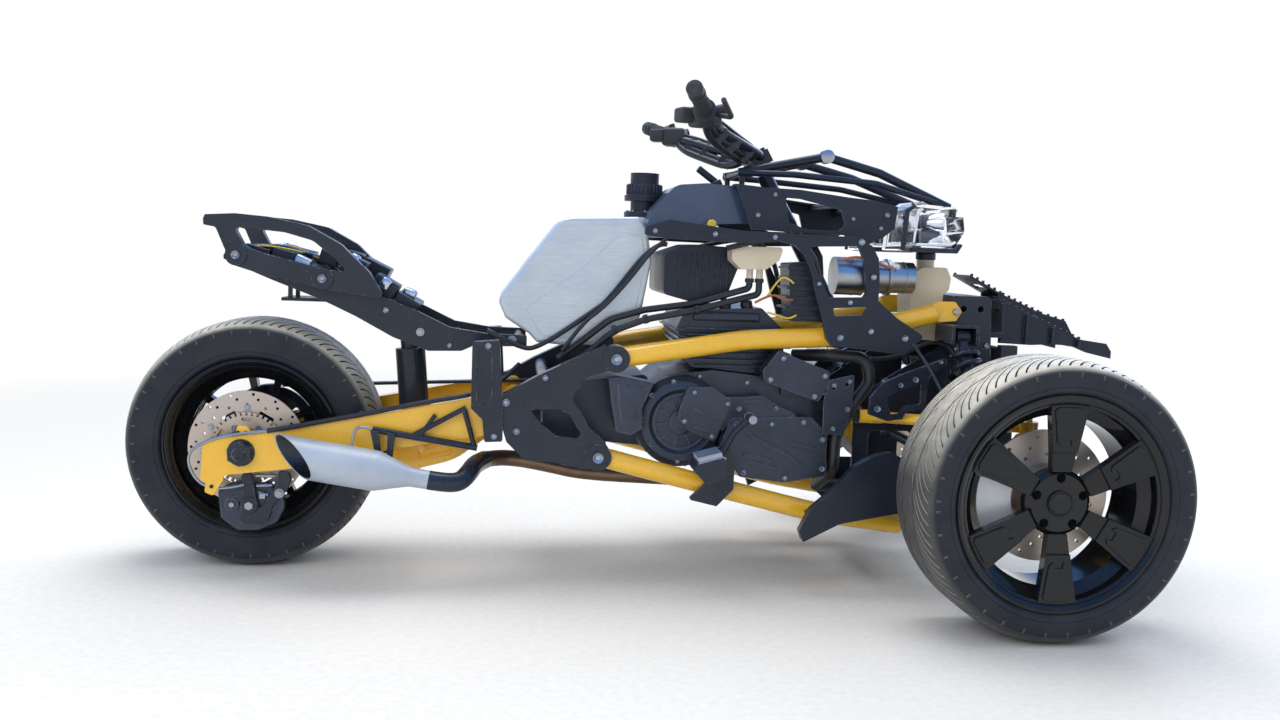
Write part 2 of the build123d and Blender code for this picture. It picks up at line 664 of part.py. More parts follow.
FILLER_X = 945
TANK_TOP_Z = 888

def fuel_tank():
    """Welded aluminium tank with a sloping back, rounded long edges and a boss under the filler."""
    shell = slab([
        (584, 675), (734, 878), (919, 886), (940, 850), (952, 783), (928, 637), (833, 573), (736, 571),
        (680, 575), (660, 596), (604, 632),
    ], -TANK_HALF_WIDTH, TANK_HALF_WIDTH, [20, 50, 16, 20, 60, 40, 30, 40, 14, 14, 16])
    long_edges = shell.faces().sort_by(Axis.Y)[0].edges() + shell.faces().sort_by(Axis.Y)[-1].edges()
    boss = rod((FILLER_X, 0, 840), (FILLER_X, 0, TANK_TOP_Z), 56)
    return fillet(long_edges, 9) + boss


def filler_cap():
    """Neck ring, neck and knurled cap on top of the tank."""
    # low z, high z, radius
    steps = [(TANK_TOP_Z + SEAT_GAP, 902, 50), (902, 930, 34), (930, 944, 50), (944, 972, 44), (972, 1000, 36)]
    return fused([rod((FILLER_X, 0, low), (FILLER_X, 0, high), r) for low, high, r in steps])


def air_box():
    """Intake box under the dash."""
    return slab([
        (984, 702), (984, 799), (1057, 825), (1150, 821), (1168, 776), (1140, 698), (1063, 682),
    ], -150, 150, 14)


def control_box():
    """Ribbed fuse and control box at the right, leaning forward."""
    core = slab([
        (1278, 788), (1326, 792), (1374, 662), (1368, 648), (1290, 648), (1280, 748),
    ], -215, -120, 5)
    ribs = []
    for z in range(654, 780, 24):
        front_x = 1380 - 0.37 * (z - 654)
        ribs.append(box((1274, front_x), (-220, -120), (z, z + 6)))
    return fused([core] + ribs)


def coolant_bottle():
    """Translucent expansion bottle behind the front shock, with a lug against the cross beam."""
    body = slab([
        (1612, 608), (1607, 740), (1618, 776), (1640, 790), (1700, 790), (1712, 764), (1708, 734), (1694, 722),
        (1690, 606),
    ], -142, -48, 8)
    cap = rod((1660, -95, 788), (1660, -95, 812), 22)
    lug = box((1680, 1712 - SEAT_GAP), (-120, -100), (655, 680))
    return fused([body, cap, lug])


OUTLETS_X = (1187, 1211)


def fluid_reservoir():
    """Cream reservoir under the side carrier with two outlets."""
    tub = slab([(1134, 824), (1261, 825), (1251, 794), (1221, 771), (1160, 769), (1137, 790)], -226, -164, 8)
    outlets = [rod((x, -195, 780), (x, -195, 744), 8) for x in OUTLETS_X]
    return fused([tub] + outlets)


def pump_motor():
    """Round motor lying along the frame, with a stepped housing and a foot against the carrier."""
    # low x, high x, radius
    steps = [(1394, 1464, 46), (1464, 1524, 40), (1524, 1534, 44), (1534, 1592, 38)]
    housing = [rod((low, -192, 762), (high, -192, 762), r) for low, high, r in steps]
    foot = box((1465, 1483), (-CARRIER_INNER_Y + SEAT_GAP, -225), (750, 774))
    return fused(housing + [foot])


def dash_cover():
    """Smooth dome over the steering head and the filler."""
    dome = slab([
        (936, 866), (946, 903), (1004, 966), (1080, 973), (1188, 966), (1260, 916), (1262, 884),
    ], -168, 168, [4, 20, 40, 60, 40, 20, 4])
    hollow = slab([(954, 850), (958, 900), (1010, 956), (1080, 963), (1184, 956), (1248, 910), (1250, 850)], -160, 160, 6)
    hole = rod((FILLER_X, 0, 850), (FILLER_X, 0, 1000), 64)
    return dome - hollow - hole


# Outer carriers and nose

def side_carriers():
    """Long beam with a windowed loop at its front and a triangular foot, on each side."""
    beam = slab([
        (922, 842), (922, 862), (980, 880), (1144, 861), (1310, 857), (1433, 856), (1469, 835), (1485, 807),
        (1491, 745), (1489, 706), (1537, 667), (1607, 624), (1596, 610), (1560, 577), (1380, 595), (1366, 612),
        (1357, 651), (1337, 712), (1322, 768), (1303, 809), (1279, 831), (1244, 839), (1145, 832), (996, 834),
    ], -CARRIER_OUTER_Y, -CARRIER_INNER_Y, 6)
    window = slab([
        (1316, 829), (1434, 834), (1447, 806), (1460, 727), (1452, 713), (1369, 710), (1352, 741), (1333, 779),
    ], -300, -220, 5)
    slot = slab([(1379, 685), (1465, 691), (1455, 671), (1385, 666)], -300, -220, 4)
    return both_sides(beam - window - slot)


def upper_cowl():
    """Windowed plate of each side above the carrier, with a turned-in top edge and two cross rods."""
    top = [(1139, 972), (1215, 966), (1299, 964), (1415, 951), (1477, 946), (1540, 933)]
    low = [(1535, 880), (1506, 857), (1460, 834), (1420, 834), (1412, 860), (1274, 862), (1182, 866)]
    outer_y, inner_y = -215, -207
    plate = slab(top + low, outer_y, inner_y, 3)
    window = slab([
        (1262, 944), (1300, 942), (1401, 920), (1411, 883), (1397, 870), (1319, 870), (1272, 885),
    ], outer_y - 5, inner_y + 5, 5)
    flange = slab(top + [(x, z - 5) for x, z in reversed(top)], outer_y, -168 - SEAT_GAP)
    spacer = drum(1440, 842, 7, -CARRIER_INNER_Y + SEAT_GAP, inner_y)
    boss = drum(1512, 912, 9, outer_y - 4, inner_y)
    sides = both_sides(fused([plate - window, flange, spacer, boss]))
    rods = [drum(x, z, 8, inner_y - 1, -inner_y + 1) for x, z in ((1432, 938), (1500, 926))]
    return fused(sides + rods)


def nose_trellis():
    """Bent rods over the dash that carry the screen, joined across and stood on the dash by posts."""
    # rod radius, points on the right side, bend radii
    rods = [
        (11, [(1167, -100, 1006), (1381, -124, 1052), (1520, -120, 1018), (1712, -96, 942)], [60, 60]),
        (8, [(1167, -100, 1006), (1290, -150, 1004), (1500, -156, 990), (1712, -96, 942)], [60, 60]),
    ]
    right = [tube(points, r, bends) for r, points, bends in rods]
    right.append(drum(1381, 1052, 17, -136, -112))
    right.append(rod((1176, -100, 1006), (1176, -100, 968), 7))
    crosses = [drum(1178, 1008, 9, -100, 100), drum(1703, 946, 9, -98, 98)]
    return fused(both_sides(fused(right)) + crosses)


def headlights():
    """Lens body of each side with a bezel and a mounting tab against the cowl."""
    lens = slab([
        (1568, 838), (1578, 924), (1600, 941), (1679, 936), (1699, 913), (1704, 878), (1679, 837),
    ], -232, -84, [6, 10, 14, 14, 12, 20, 12])
    bezel = slab([(1550, 830), (1558, 926), (1590, 948), (1604, 942), (1580, 922), (1572, 828)], -238, -78, 3)
    tab = box((1541, 1556), (-216, -206), (890, 918))
    return both_sides(fused([lens, bezel, tab]))


def nose_supports():
    """Ribbed side plates that run down to the tip, a sloping shelf and a slotted tunnel on it."""
    ridge = [(1841, 715), (1931, 673), (2060, 620), (2128, 612), (NOSE_TIP_X, 592)]
    side = slab(ridge + [
        (NOSE_TIP_X, 574), (2075, 588), (2030, 605), (1979, 606), (1924, 603), (1841, 606),
    ], -156, -150)
    # x, low z, high z
    ribs = [box((x, x + 6), (-168, -155), (low, high)) for x, low, high in
            ((1841, 610, 706), (1906, 606, 680), (1976, 608, 650), (2046, 602, 622))]
    stay = box((1770, 1846), (-BULKHEAD_Y + SEAT_GAP, -151), (620, 634))
    shelf = slab(ridge + [(x, z - 6) for x, z in reversed(ridge)], -156, 156)
    crest = [(1795, 773), (1884, 727), (1989, 682), (2062, 662)]
    roof = slab(crest + [(x, z - 6) for x, z in reversed(crest)], -60, 60)
    wall = slab(crest[1:] + [(2090, 615), (2060, 617), (1931, 670), (1876, 696), (1876, 731)], -60, -54)
    slots = [box((x, x + 26), (-36, 36), (560, 800)) for x in (1830, 1890, 1950)]
    return fused(both_sides(fused([side, stay, wall] + ribs)) + [shelf, roof]) - slots


def deflectors():
    """Curved sheet ahead of each footrest with a turned-in edge and a stay to the lower tube."""
    edge = [
        (1306, 160), (1316, 132), (1403, 177), (1543, 204), (1540, 338), (1520, 352), (1480, 343),
        (1435, 317), (1376, 252), (1332, 213),
    ]
    bends = [4, 3, 40, 4, 8, 8, 20, 30, 30, 15]
    sheet = slab(edge, -330, -326, bends)
    inner = [
        (1316, 100), (1313, 160), (1337, 207), (1381, 246), (1439, 311), (1482, 336), (1518, 345), (1534, 334),
        (1537, 100),
    ]
    lip = slab(edge, -330, -306, bends) - slab(inner, -340, -300)
    stay = drum(1345, 187, 7, -327, -TUBE_Y - TUBE_R - SEAT_GAP)
    return both_sides(fused([sheet, lip, stay]))


def radiator():
    """Core between two end tanks, behind the nose."""
    core = box((1852, 1882), (-140, 140), (310, 590))
    tanks = both_sides(box((1846, 1888), (-166, -140), (300, 600)))
    return fused([core] + tanks)


# Controls, exhaust and rear end

def foot_controls():
    """Footrest bracket beside the lower tube with its broad peg, each side, and the brake pedal."""
    bracket = slab([
        (1089, 255), (1105, 344), (1142, 345), (1158, 304), (1157, 243), (1118, 201), (1049, 217),
    ], -262, -247, 4)
    peg = slab([(1044, 304), (1052, 318), (1117, 336), (1126, 288), (1076, 272)], -350, -261, 5)
    footrest = fused([bracket, peg])
    lever = tube([(1120, -272, 326), (1152, -272, 384), (1186, -276, 418)], 8, 20)
    toe = rod((1186, -252, 420), (1186, -318, 420), 10)
    return [fused([footrest, lever, toe]), mirror(footrest, about=Plane.XZ)]


def front_braces():
    """Open loop plate of each side in front of the engine, stood off the bulkhead by two bosses."""
    plate = slab([
        (1470, 436), (1471, 476), (1499, 511), (1550, 535), (1653, 576), (1655, 562), (1614, 534), (1608, 452),
        (1596, 447), (1562, 446), (1552, 426), (1516, 421),
    ], -296, -284, 3)
    opening = slab([
        (1512, 477), (1541, 495), (1594, 513), (1594, 464), (1556, 459), (1544, 438), (1524, 437),
    ], -300, -280, 3)
    bosses = [drum(x, z, 8, -285, -BULKHEAD_Y - PLATE - SEAT_GAP) for x, z in ((1580, 518), (1544, 505))]
    return both_sides(fused([plate - opening] + bosses))


MUFFLER_Y = -278
MUFFLER_R = 53


def muffler():
    """Slash-cut can, cone and pipe that bends in under the swingarm to the engine."""
    can = Pos(0, MUFFLER_Y, 292) * Rot(0, 90, 0) * revolve(
        make_face(Polyline((0, 0, 96), (MUFFLER_R, 0, 96), (MUFFLER_R, 0, 362), (28, 0, 432), (28, 0, 440),
                           (0, 0, 440), close=True)), axis=Axis.Z)
    slash = slab([(60, 380), (92, 348), (152, 230), (60, 200)], -340, -200)
    bore = rod((60, MUFFLER_Y, 292), (300, MUFFLER_Y, 292), MUFFLER_R - 4)
    pipe = tube([
        (436, MUFFLER_Y, 292), (516, MUFFLER_Y, 288), (580, -120, 268), (780, -80, 258), (1000, -60, 232),
        (1150, -60, 225),
    ], 23, [40, 60, 100, 300])
    return fused([can - slash - bore, pipe])


def muffler_bracket():
    """Tubular truss that hangs the muffler from the side plate."""
    y = -226
    bars = [
        rod((301, y, 366), (545, y, 327), 8),
        rod((392, y, 352), (517, y, 422), 6),
        rod((512, y, 420), (538, y, 330), 6),
        rod((410, y, 350), (446, y, 404), 5),
    ]
    return fused(bars)


def swingarm():
    """Two box arms, a cross box ahead of the tyre, lower braces and the eyes of pivot and axle."""
    axle_end = [(-30, 250), (-70, 228), (-92, 236), (-86, 322), (-40, 338), (17, 343)]
    pivot_end = [(315, 401), (536, 445), (640, 454), (662, 410), (640, 376), (550, 352), (350, 318)]
    outline = [(REAR_AXLE_X + x, z) for x, z in axle_end + [(153, 369)]] + pivot_end
    outline.append((REAR_AXLE_X + 128, 268))
    arm = slab(outline, -ARM_OUTER_Y, -ARM_INNER_Y, [20, 8, 8, 8, 30, 60, 60, 60, 60, 20, 20, 20, 60, 60, 60])
    ears = [
        slab([(-20, 320), (-8, 366), (12, 366), (36, 330)], -ARM_OUTER_Y, -ARM_OUTER_Y + 8, 6),
        slab([(-78, 252), (-82, 208), (-62, 200), (-36, 244)], -ARM_OUTER_Y, -ARM_OUTER_Y + 8, 6),
    ]
    axle_hole = drum(REAR_AXLE_X, REAR_TYRE_R, AXLE_R + RUNNING_FIT, -300, -100)
    pivot_hole = drum(PIVOT_X, PIVOT_Z, PIVOT_R + SEAT_GAP, -300, 300)
    right = fused([arm] + [Pos(REAR_AXLE_X, 0, 0) * ear for ear in ears]) - axle_hole
    brace = tube([(CROSS_BOX_X + 54, -100, 268), (480, -100, 292), (620, -100, 396)], 19, 120)
    brace_eye = drum(PIVOT_X, PIVOT_Z, PIVOT_R + 12, -119, -81)
    along = (CROSS_BOX_X, CROSS_BOX_X + CROSS_BOX_LENGTH)
    cross = box(along, (-ARM_INNER_Y - 1, ARM_INNER_Y + 1), (306, 372))
    keel = box(along, (-119, 119), (246, 308))
    return fused(both_sides(right) + both_sides(brace) + both_sides(brace_eye) + [cross, keel]) - pivot_hole


def rear_axle():
    """Axle through both arms with a hex head and nut, and spacers beside the hub."""
    shaft = drum(0, REAR_TYRE_R, AXLE_R, -AXLE_END_Y, AXLE_END_Y)
    nut = Plane(origin=(0, -ARM_OUTER_Y - 2, REAR_TYRE_R), z_dir=(0, -1, 0)) * RegularPolygon(27, 6)
    nuts = both_sides(extrude(nut, amount=22))
    washers = both_sides(drum(0, REAR_TYRE_R, 30, -ARM_OUTER_Y - 2, -ARM_OUTER_Y))
    return fused([shaft] + nuts + washers)


def rear_caliper():
    """Caliper below the axle on a forked bracket."""
    fork = slab([
        (-5, 133), (-3, 249), (21, 250), (32, 190), (70, 213), (89, 254), (108, 247), (92, 196), (54, 133),
    ], -200, -166, 4)
    bracket = fork + drum(17, 178, 14, -206, -199)
    body = slab([(-62, 214), (74, 214), (96, 196), (84, 130), (30, 100), (-20, 100), (-70, 150)],
                DISC_Y - 3 - MOVING_GAP - 24, DISC_Y + 3 + MOVING_GAP + 18, 12)
    slot = drum(0, REAR_TYRE_R, DISC_R + MOVING_GAP, DISC_Y - 3 - MOVING_GAP, DISC_Y + 3 + MOVING_GAP)
    tone_clear = drum(0, REAR_TYRE_R, TONE_R + MOVING_GAP, -190, -100)
    hub_clear = drum(0, REAR_TYRE_R, 150, DISC_Y + 3 + MOVING_GAP, DISC_Y + 60)
    return bracket - tone_clear, (body - slot - tone_clear - hub_clear)


def rear_shock():
    """Single damper ahead of the tyre, from the cross box up to the subframe."""
    foot_x = CROSS_BOX_X + 44
    top = (356, 0, 640)
    body = rod((366, 0, 530), (356, 0, 634), 22)
    cylinder = rod((foot_x - 2, 0, 396), (366, 0, 540), 37)
    eyes = [drum(top[0], top[2], 16, -18, 18), drum(foot_x, 390, 17, -18, 18)]
    return fused([body, cylinder] + eyes)


def drive_belt():
    """Closed belt round the driven pulley and the engine's pulley."""
    low, high = BELT_Y + 3, BELT_Y + 3 + BELT_WIDTH - 2
    ends = [(REAR_AXLE_X, REAR_TYRE_R, PULLEY_R + SEAT_GAP),
            (FRONT_PULLEY_X, FRONT_PULLEY_Z, FRONT_PULLEY_R + SEAT_GAP)]

    def loop(extra):
        (xa, za, ra), (xb, zb, rb) = ends
        ra, rb = ra + extra, rb + extra
        length = hypot(xb - xa, zb - za)
        ux, uz = (xb - xa) / length, (zb - za) / length
        c = (ra - rb) / length
        s = (1 - c * c) ** 0.5
        points = []
        for sign in (1, -1):
            nx, nz = c * ux - sign * s * uz, c * uz + sign * s * ux
            points.append(((xa + ra * nx, za + ra * nz), (xb + rb * nx, zb + rb * nz)))
        band = slab([points[0][0], points[0][1], points[1][1], points[1][0]], low, high)
        return fused([band, drum(xa, za, ra, low, high), drum(xb, zb, rb, low, high)])

    return loop(BELT_THICKNESS) - loop(0)


def hoses():
    """Two fluid hoses from the reservoir and the coolant hose, all clipped to the frame."""
    rear_x, front_x = OUTLETS_X
    # radius, points, bend radii
    runs = [
        (8, [(front_x, -195, 743), (front_x, -195, 710), (1057, -196, 667), (936, -200, 641), (862, -200, 612),
             (800, -200, 556), (772, -200, 524)], [14, 150, 150, 80, 80]),
        (8, [(rear_x, -195, 743), (rear_x, -195, 724), (1056, -180, 682), (936, -180, 663), (854, -180, 638),
             (788, -180, 584), (730, -180, 540)], [12, 100, 100, 80, 80]),
        (15, [(1316, -144, 560), (1400, -203, 568), (1484, -212, 564), (1496, -214, 505), (1450, -212, 440),
              (1416, -206, 366), (1416, -206, 280), (1400, -110, 226)], [40, 35, 40, 100, 60, 50]),
    ]
    return [tube(points, r, bends) for r, points, bends in runs]


# Handlebar, turning about the tilted head

AXIS_UP = Vector(-sin(radians(HEAD_TILT)), 0, cos(radians(HEAD_TILT)))
HEAD = Vector(HEAD_X, 0, HEAD_Z)


def steering_column():
    """Fixed column under the head."""
    return rod(HEAD - AXIS_UP * 40, HEAD - AXIS_UP * 420, 20)


def handlebar():
    """Stem, clamp and a bar pulled back and up to the grips."""
    stem = rod(HEAD - AXIS_UP * 38, HEAD, 17)
    clamp = Plane(origin=HEAD, z_dir=AXIS_UP) * Box(50, 120, 34)
    right = tube([
        (HEAD_X, 0, HEAD_Z), (HEAD_X - 6, -74, HEAD_Z + 8), (1074, -216, 1107.5), (1004, -GRIP_END_Y + 2, 1154),
    ], BAR_R, [40, 60])
    return fused([stem, clamp] + both_sides(right))


def bar_controls():
    """Rubber grip with an end weight and the switch and lever block of each side."""
    bend, end = Vector(1074, -216, 1107.5), Vector(1004, -GRIP_END_Y + 2, 1154)
    along = (end - bend).normalized()
    inner = end - along * GRIP_LENGTH
    grip = rod(inner, end, GRIP_R)
    weight = rod(end, end + along * 22, GRIP_R + 2)
    switch = rod(inner - along * 46, inner, 27)
    lever = tube([inner - along * 30 + Vector(20, 0, 0), Vector(1100, -340, 1112), Vector(1066, -416, 1140)], 6, 20)
    bar = rod(inner - along * 60, end, BAR_R + RUNNING_FIT)
    return both_sides(fused([grip, switch, lever]) - bar) + both_sides(weight)


def write(name, shapes):
    """One STEP file with the shapes of a node, moved to the final origin."""
    solids = []
    for shape in shapes if isinstance(shapes, (list, tuple)) else [shapes]:
        solids += shape.solids()
    moved = [Pos(-ORIGIN_X, 0, 0) * solid for solid in solids]
    export_step(moved[0] if len(moved) == 1 else Compound(children=moved), f"parts/{name}.step")


def build():
    """Every node of the vehicle."""
    nodes = {
        "frame_tubes": frame_tubes(),
        "rear_frame": rear_frame(),
        "front_bulkhead": front_bulkhead(),
        "tail_subframe": tail_subframe(),
        "grab_rails": grab_rails(),
        "engine_case": engine_case(),
        "engine_covers": engine_covers(),
        "cylinder_head": cylinder_head(),
        "fuel_tank": fuel_tank(),
        "filler_cap": filler_cap(),
        "air_box": air_box(),
        "control_box": control_box(),
        "coolant_bottle": coolant_bottle(),
        "fluid_reservoir": fluid_reservoir(),
        "pump_motor": pump_motor(),
        "dash_cover": dash_cover(),
        "side_carriers": side_carriers(),
        "upper_cowl": upper_cowl(),
        "nose_trellis": nose_trellis(),
        "headlights": headlights(),
        "nose_supports": nose_supports(),
        "deflectors": deflectors(),
        "radiator": radiator(),
        "foot_controls": foot_controls(),
        "front_braces": front_braces(),
        "muffler": muffler(),
        "muffler_bracket": muffler_bracket(),
        "swingarm": swingarm(),
        "rear_axle": placed(rear_axle(), REAR_AXLE_X, 0, 0),
        "rear_caliper": [placed(piece, REAR_AXLE_X, 0, 0) for piece in rear_caliper()],
        "rear_shock": rear_shock(),
        "drive_belt": drive_belt(),
        "hoses": hoses(),
        "upper_arms": both_sides(a_arm(UPPER_BALL_Z, UPPER_PIVOT_Z, UPPER_PIVOT_REAR_X)),
        "lower_arms": both_sides(a_arm(LOWER_BALL_Z, LOWER_PIVOT_Z, LOWER_PIVOT_REAR_X)),
        "front_shocks": both_sides(front_shock()),
        "steering_column": steering_column(),
        "tie_rods": tie_rods(),
        "handlebar": handlebar(),
        "bar_controls": bar_controls(),
        "rear_rim": placed(rear_rim(), REAR_AXLE_X, 0, REAR_TYRE_R),
        "rear_tyre": placed(tyre(REAR_TYRE_R, REAR_FLANGE_R, REAR_TYRE_WIDTH), REAR_AXLE_X, 0, REAR_TYRE_R),
        "rear_disc": placed(rear_disc(), REAR_AXLE_X, 0, REAR_TYRE_R),
        "rear_pulley": placed(rear_pulley(), REAR_AXLE_X, 0, REAR_TYRE_R),
    }
    pieces = {
        "front_rim": front_rim(),
        "front_tyre": tyre(FRONT_TYRE_R, FRONT_FLANGE_R, FRONT_TYRE_WIDTH),
        "front_disc": front_disc(),
        "knuckle": knuckle(),
        "caliper": caliper(-100),
    }
    for name, shape in pieces.items():
        for side, left in (("right", False), ("left", True)):
            y = TRACK / 2 if left else -TRACK / 2
            nodes[f"{name}_{side}"] = placed(shape, FRONT_AXLE_X, y, FRONT_TYRE_R, left)
    return nodes


os.makedirs("parts", exist_ok=True)
for node, shapes in build().items():
    write(node, shapes)
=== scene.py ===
"""Dressed scene of a reverse trike stripped of its bodywork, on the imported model's fixed frame."""

import json
import logging
from dataclasses import dataclass, field
from enum import Enum
from math import cos, pi, radians, sin
from typing import Callable, Iterable, Sequence

import bmesh
import bpy
from mathutils import Matrix, Vector

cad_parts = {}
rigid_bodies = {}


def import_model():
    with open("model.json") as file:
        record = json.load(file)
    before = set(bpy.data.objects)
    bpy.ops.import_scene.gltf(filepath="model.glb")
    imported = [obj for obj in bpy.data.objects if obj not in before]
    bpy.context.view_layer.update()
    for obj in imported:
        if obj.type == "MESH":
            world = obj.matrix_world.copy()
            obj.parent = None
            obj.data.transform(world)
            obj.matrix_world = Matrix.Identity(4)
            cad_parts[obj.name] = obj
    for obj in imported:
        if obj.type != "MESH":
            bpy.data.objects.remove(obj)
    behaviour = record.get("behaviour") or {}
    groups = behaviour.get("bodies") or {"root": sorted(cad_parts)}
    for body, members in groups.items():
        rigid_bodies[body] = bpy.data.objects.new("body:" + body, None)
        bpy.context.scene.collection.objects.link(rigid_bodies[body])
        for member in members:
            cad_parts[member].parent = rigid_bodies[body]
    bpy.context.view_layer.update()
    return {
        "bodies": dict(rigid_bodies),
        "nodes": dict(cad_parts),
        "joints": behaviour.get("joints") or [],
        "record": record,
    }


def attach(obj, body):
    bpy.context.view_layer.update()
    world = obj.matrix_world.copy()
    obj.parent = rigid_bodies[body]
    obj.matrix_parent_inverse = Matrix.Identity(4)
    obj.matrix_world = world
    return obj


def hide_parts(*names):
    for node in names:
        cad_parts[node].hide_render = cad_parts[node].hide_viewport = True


log = logging.getLogger("reverse_trike")

Colour = tuple[float, float, float]
Point = tuple[float, float, float]
Socket = bpy.types.NodeSocket
Sockets = dict[str, object]

# The source's sizes are millimetres from the rear axle; the frame's are metres from the middle of the length.
ORIGIN_X_MM = 919.5
FRONT_X, FRONT_Y, FRONT_R = 1780, 580, 306
REAR_R = 303
RIGHTWARD, FORWARD, UPWARD = Vector((0, -1, 0)), Vector((1, 0, 0)), Vector((0, 0, 1))


def at(x: float, y: float, z: float) -> Vector:
    """Point of the frame, in metres, from millimetres measured from the rear axle."""
    return Vector((x - ORIGIN_X_MM, y, z)) / 1000.0


def about(axis: str, degrees: float) -> Matrix:
    """Rotation about a named axis."""
    return Matrix.Rotation(radians(degrees), 3, axis)


def new_object(name: str, data: bpy.types.ID) -> bpy.types.Object:
    """Object of some data, linked into the scene.

    Args:
        name: Name of the object.
        data: Its mesh, curve, camera or lamp.

    Returns:
        The new object.
    """
    obj = bpy.data.objects.new(name, data)
    bpy.context.scene.collection.objects.link(obj)
    return obj


class Side(Enum):
    """Side of the vehicle, with the sign of its Y axis."""

    RIGHT = -1
    LEFT = 1

    @property
    def label(self) -> str:
        """Lower-case name of the side, as the nodes use it."""
        return self.name.lower()


class Body(Enum):
    """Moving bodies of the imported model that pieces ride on."""

    CHASSIS = "chassis"
    BARS = "bars"
    REAR_WHEEL = "rear_wheel"
    WHEEL_RIGHT = "front_wheel_right"
    WHEEL_LEFT = "front_wheel_left"


# Shader tools


class NodeSheet:
    """Adds and links nodes in one node tree."""

    def __init__(self, tree: bpy.types.NodeTree) -> None:
        """Keeps the tree and empties it.

        Args:
            tree: Node tree of a material, a world or a group.
        """
        self.tree = tree
        tree.nodes.clear()

    def add(self, kind: str, inputs: Sockets | None = None, **settings: object) -> bpy.types.Node:
        """Adds a node and fills its inputs.

        Args:
            kind: Blender's type name of the node.
            inputs: Value or source socket for each input, by name or number.
            settings: Attributes of the node.

        Returns:
            The new node.
        """
        node = self.tree.nodes.new(kind)
        for name, value in settings.items():
            setattr(node, name, value)
        for name, value in (inputs or {}).items():
            socket = node.inputs[name]
            if isinstance(value, Socket):
                self.tree.links.new(value, socket)
            elif isinstance(value, tuple) and len(value) == 3 and socket.type == "RGBA":
                socket.default_value = (*value, 1.0)
            else:
                socket.default_value = value
        return node

    def math(self, operation: str, *values: object, clamp: bool = False) -> Socket:
        """Output of a Math node.

        Args:
            operation: Name of the operation.
            values: Numbers or sockets, in order.
            clamp: Whether the result is kept between 0 and 1.

        Returns:
            The node's value socket.
        """
        node = self.add("ShaderNodeMath", dict(enumerate(values)), operation=operation, use_clamp=clamp)
        return node.outputs[0]

    def noise(self, vector: Socket, scale: object, detail: float = 2.0, roughness: float = 0.5) -> Socket:
        """Output of a Noise node.

        Args:
            vector: Place that it reads.
            scale: Fineness, as a number or a socket.
            detail: Number of finer layers.
            roughness: Strength of the finer layers.

        Returns:
            The node's value socket.
        """
        values = {"Vector": vector, "Scale": scale, "Detail": detail, "Roughness": roughness}
        return self.add("ShaderNodeTexNoise", values).outputs[0]

    def upward(self) -> Socket:
        """Height of the surface's normal, which is 1 where it faces up."""
        surface = self.add("ShaderNodeNewGeometry")
        return self.add("ShaderNodeSeparateXYZ", {0: surface.outputs["Normal"]}).outputs[2]

    def mix(self, factor: object, first: object, second: object) -> Socket:
        """Colour between two colours.

        Args:
            factor: 0 gives the first colour and 1 the second.
            first: Colour or socket.
            second: Colour or socket.

        Returns:
            The mixed colour's socket.
        """
        node = self.add("ShaderNodeMix", {0: factor, 6: first, 7: second}, data_type="RGBA")
        return node.outputs[2]

    def spread(self, value: object, low: float, high: float, to_low: float = 0.0,
               to_high: float = 1.0) -> Socket:
        """Value moved from one range to another, and kept inside it.

        Args:
            value: Source socket.
            low: Start of the source range.
            high: End of the source range.
            to_low: Result at the start.
            to_high: Result at the end.

        Returns:
            The result's socket.
        """
        node = self.add("ShaderNodeMapRange", {0: value, 1: low, 2: high, 3: to_low, 4: to_high})
        return node.outputs[0]


def new_material(name: str) -> tuple[bpy.types.Material, NodeSheet, Socket]:
    """Empty material with nodes.

    Args:
        name: Name of the material.

    Returns:
        The material, its sheet and its object coordinates.
    """
    material = bpy.data.materials.new(name)
    material.use_nodes = True
    sheet = NodeSheet(material.node_tree)
    return material, sheet, sheet.add("ShaderNodeTexCoord").outputs["Object"]


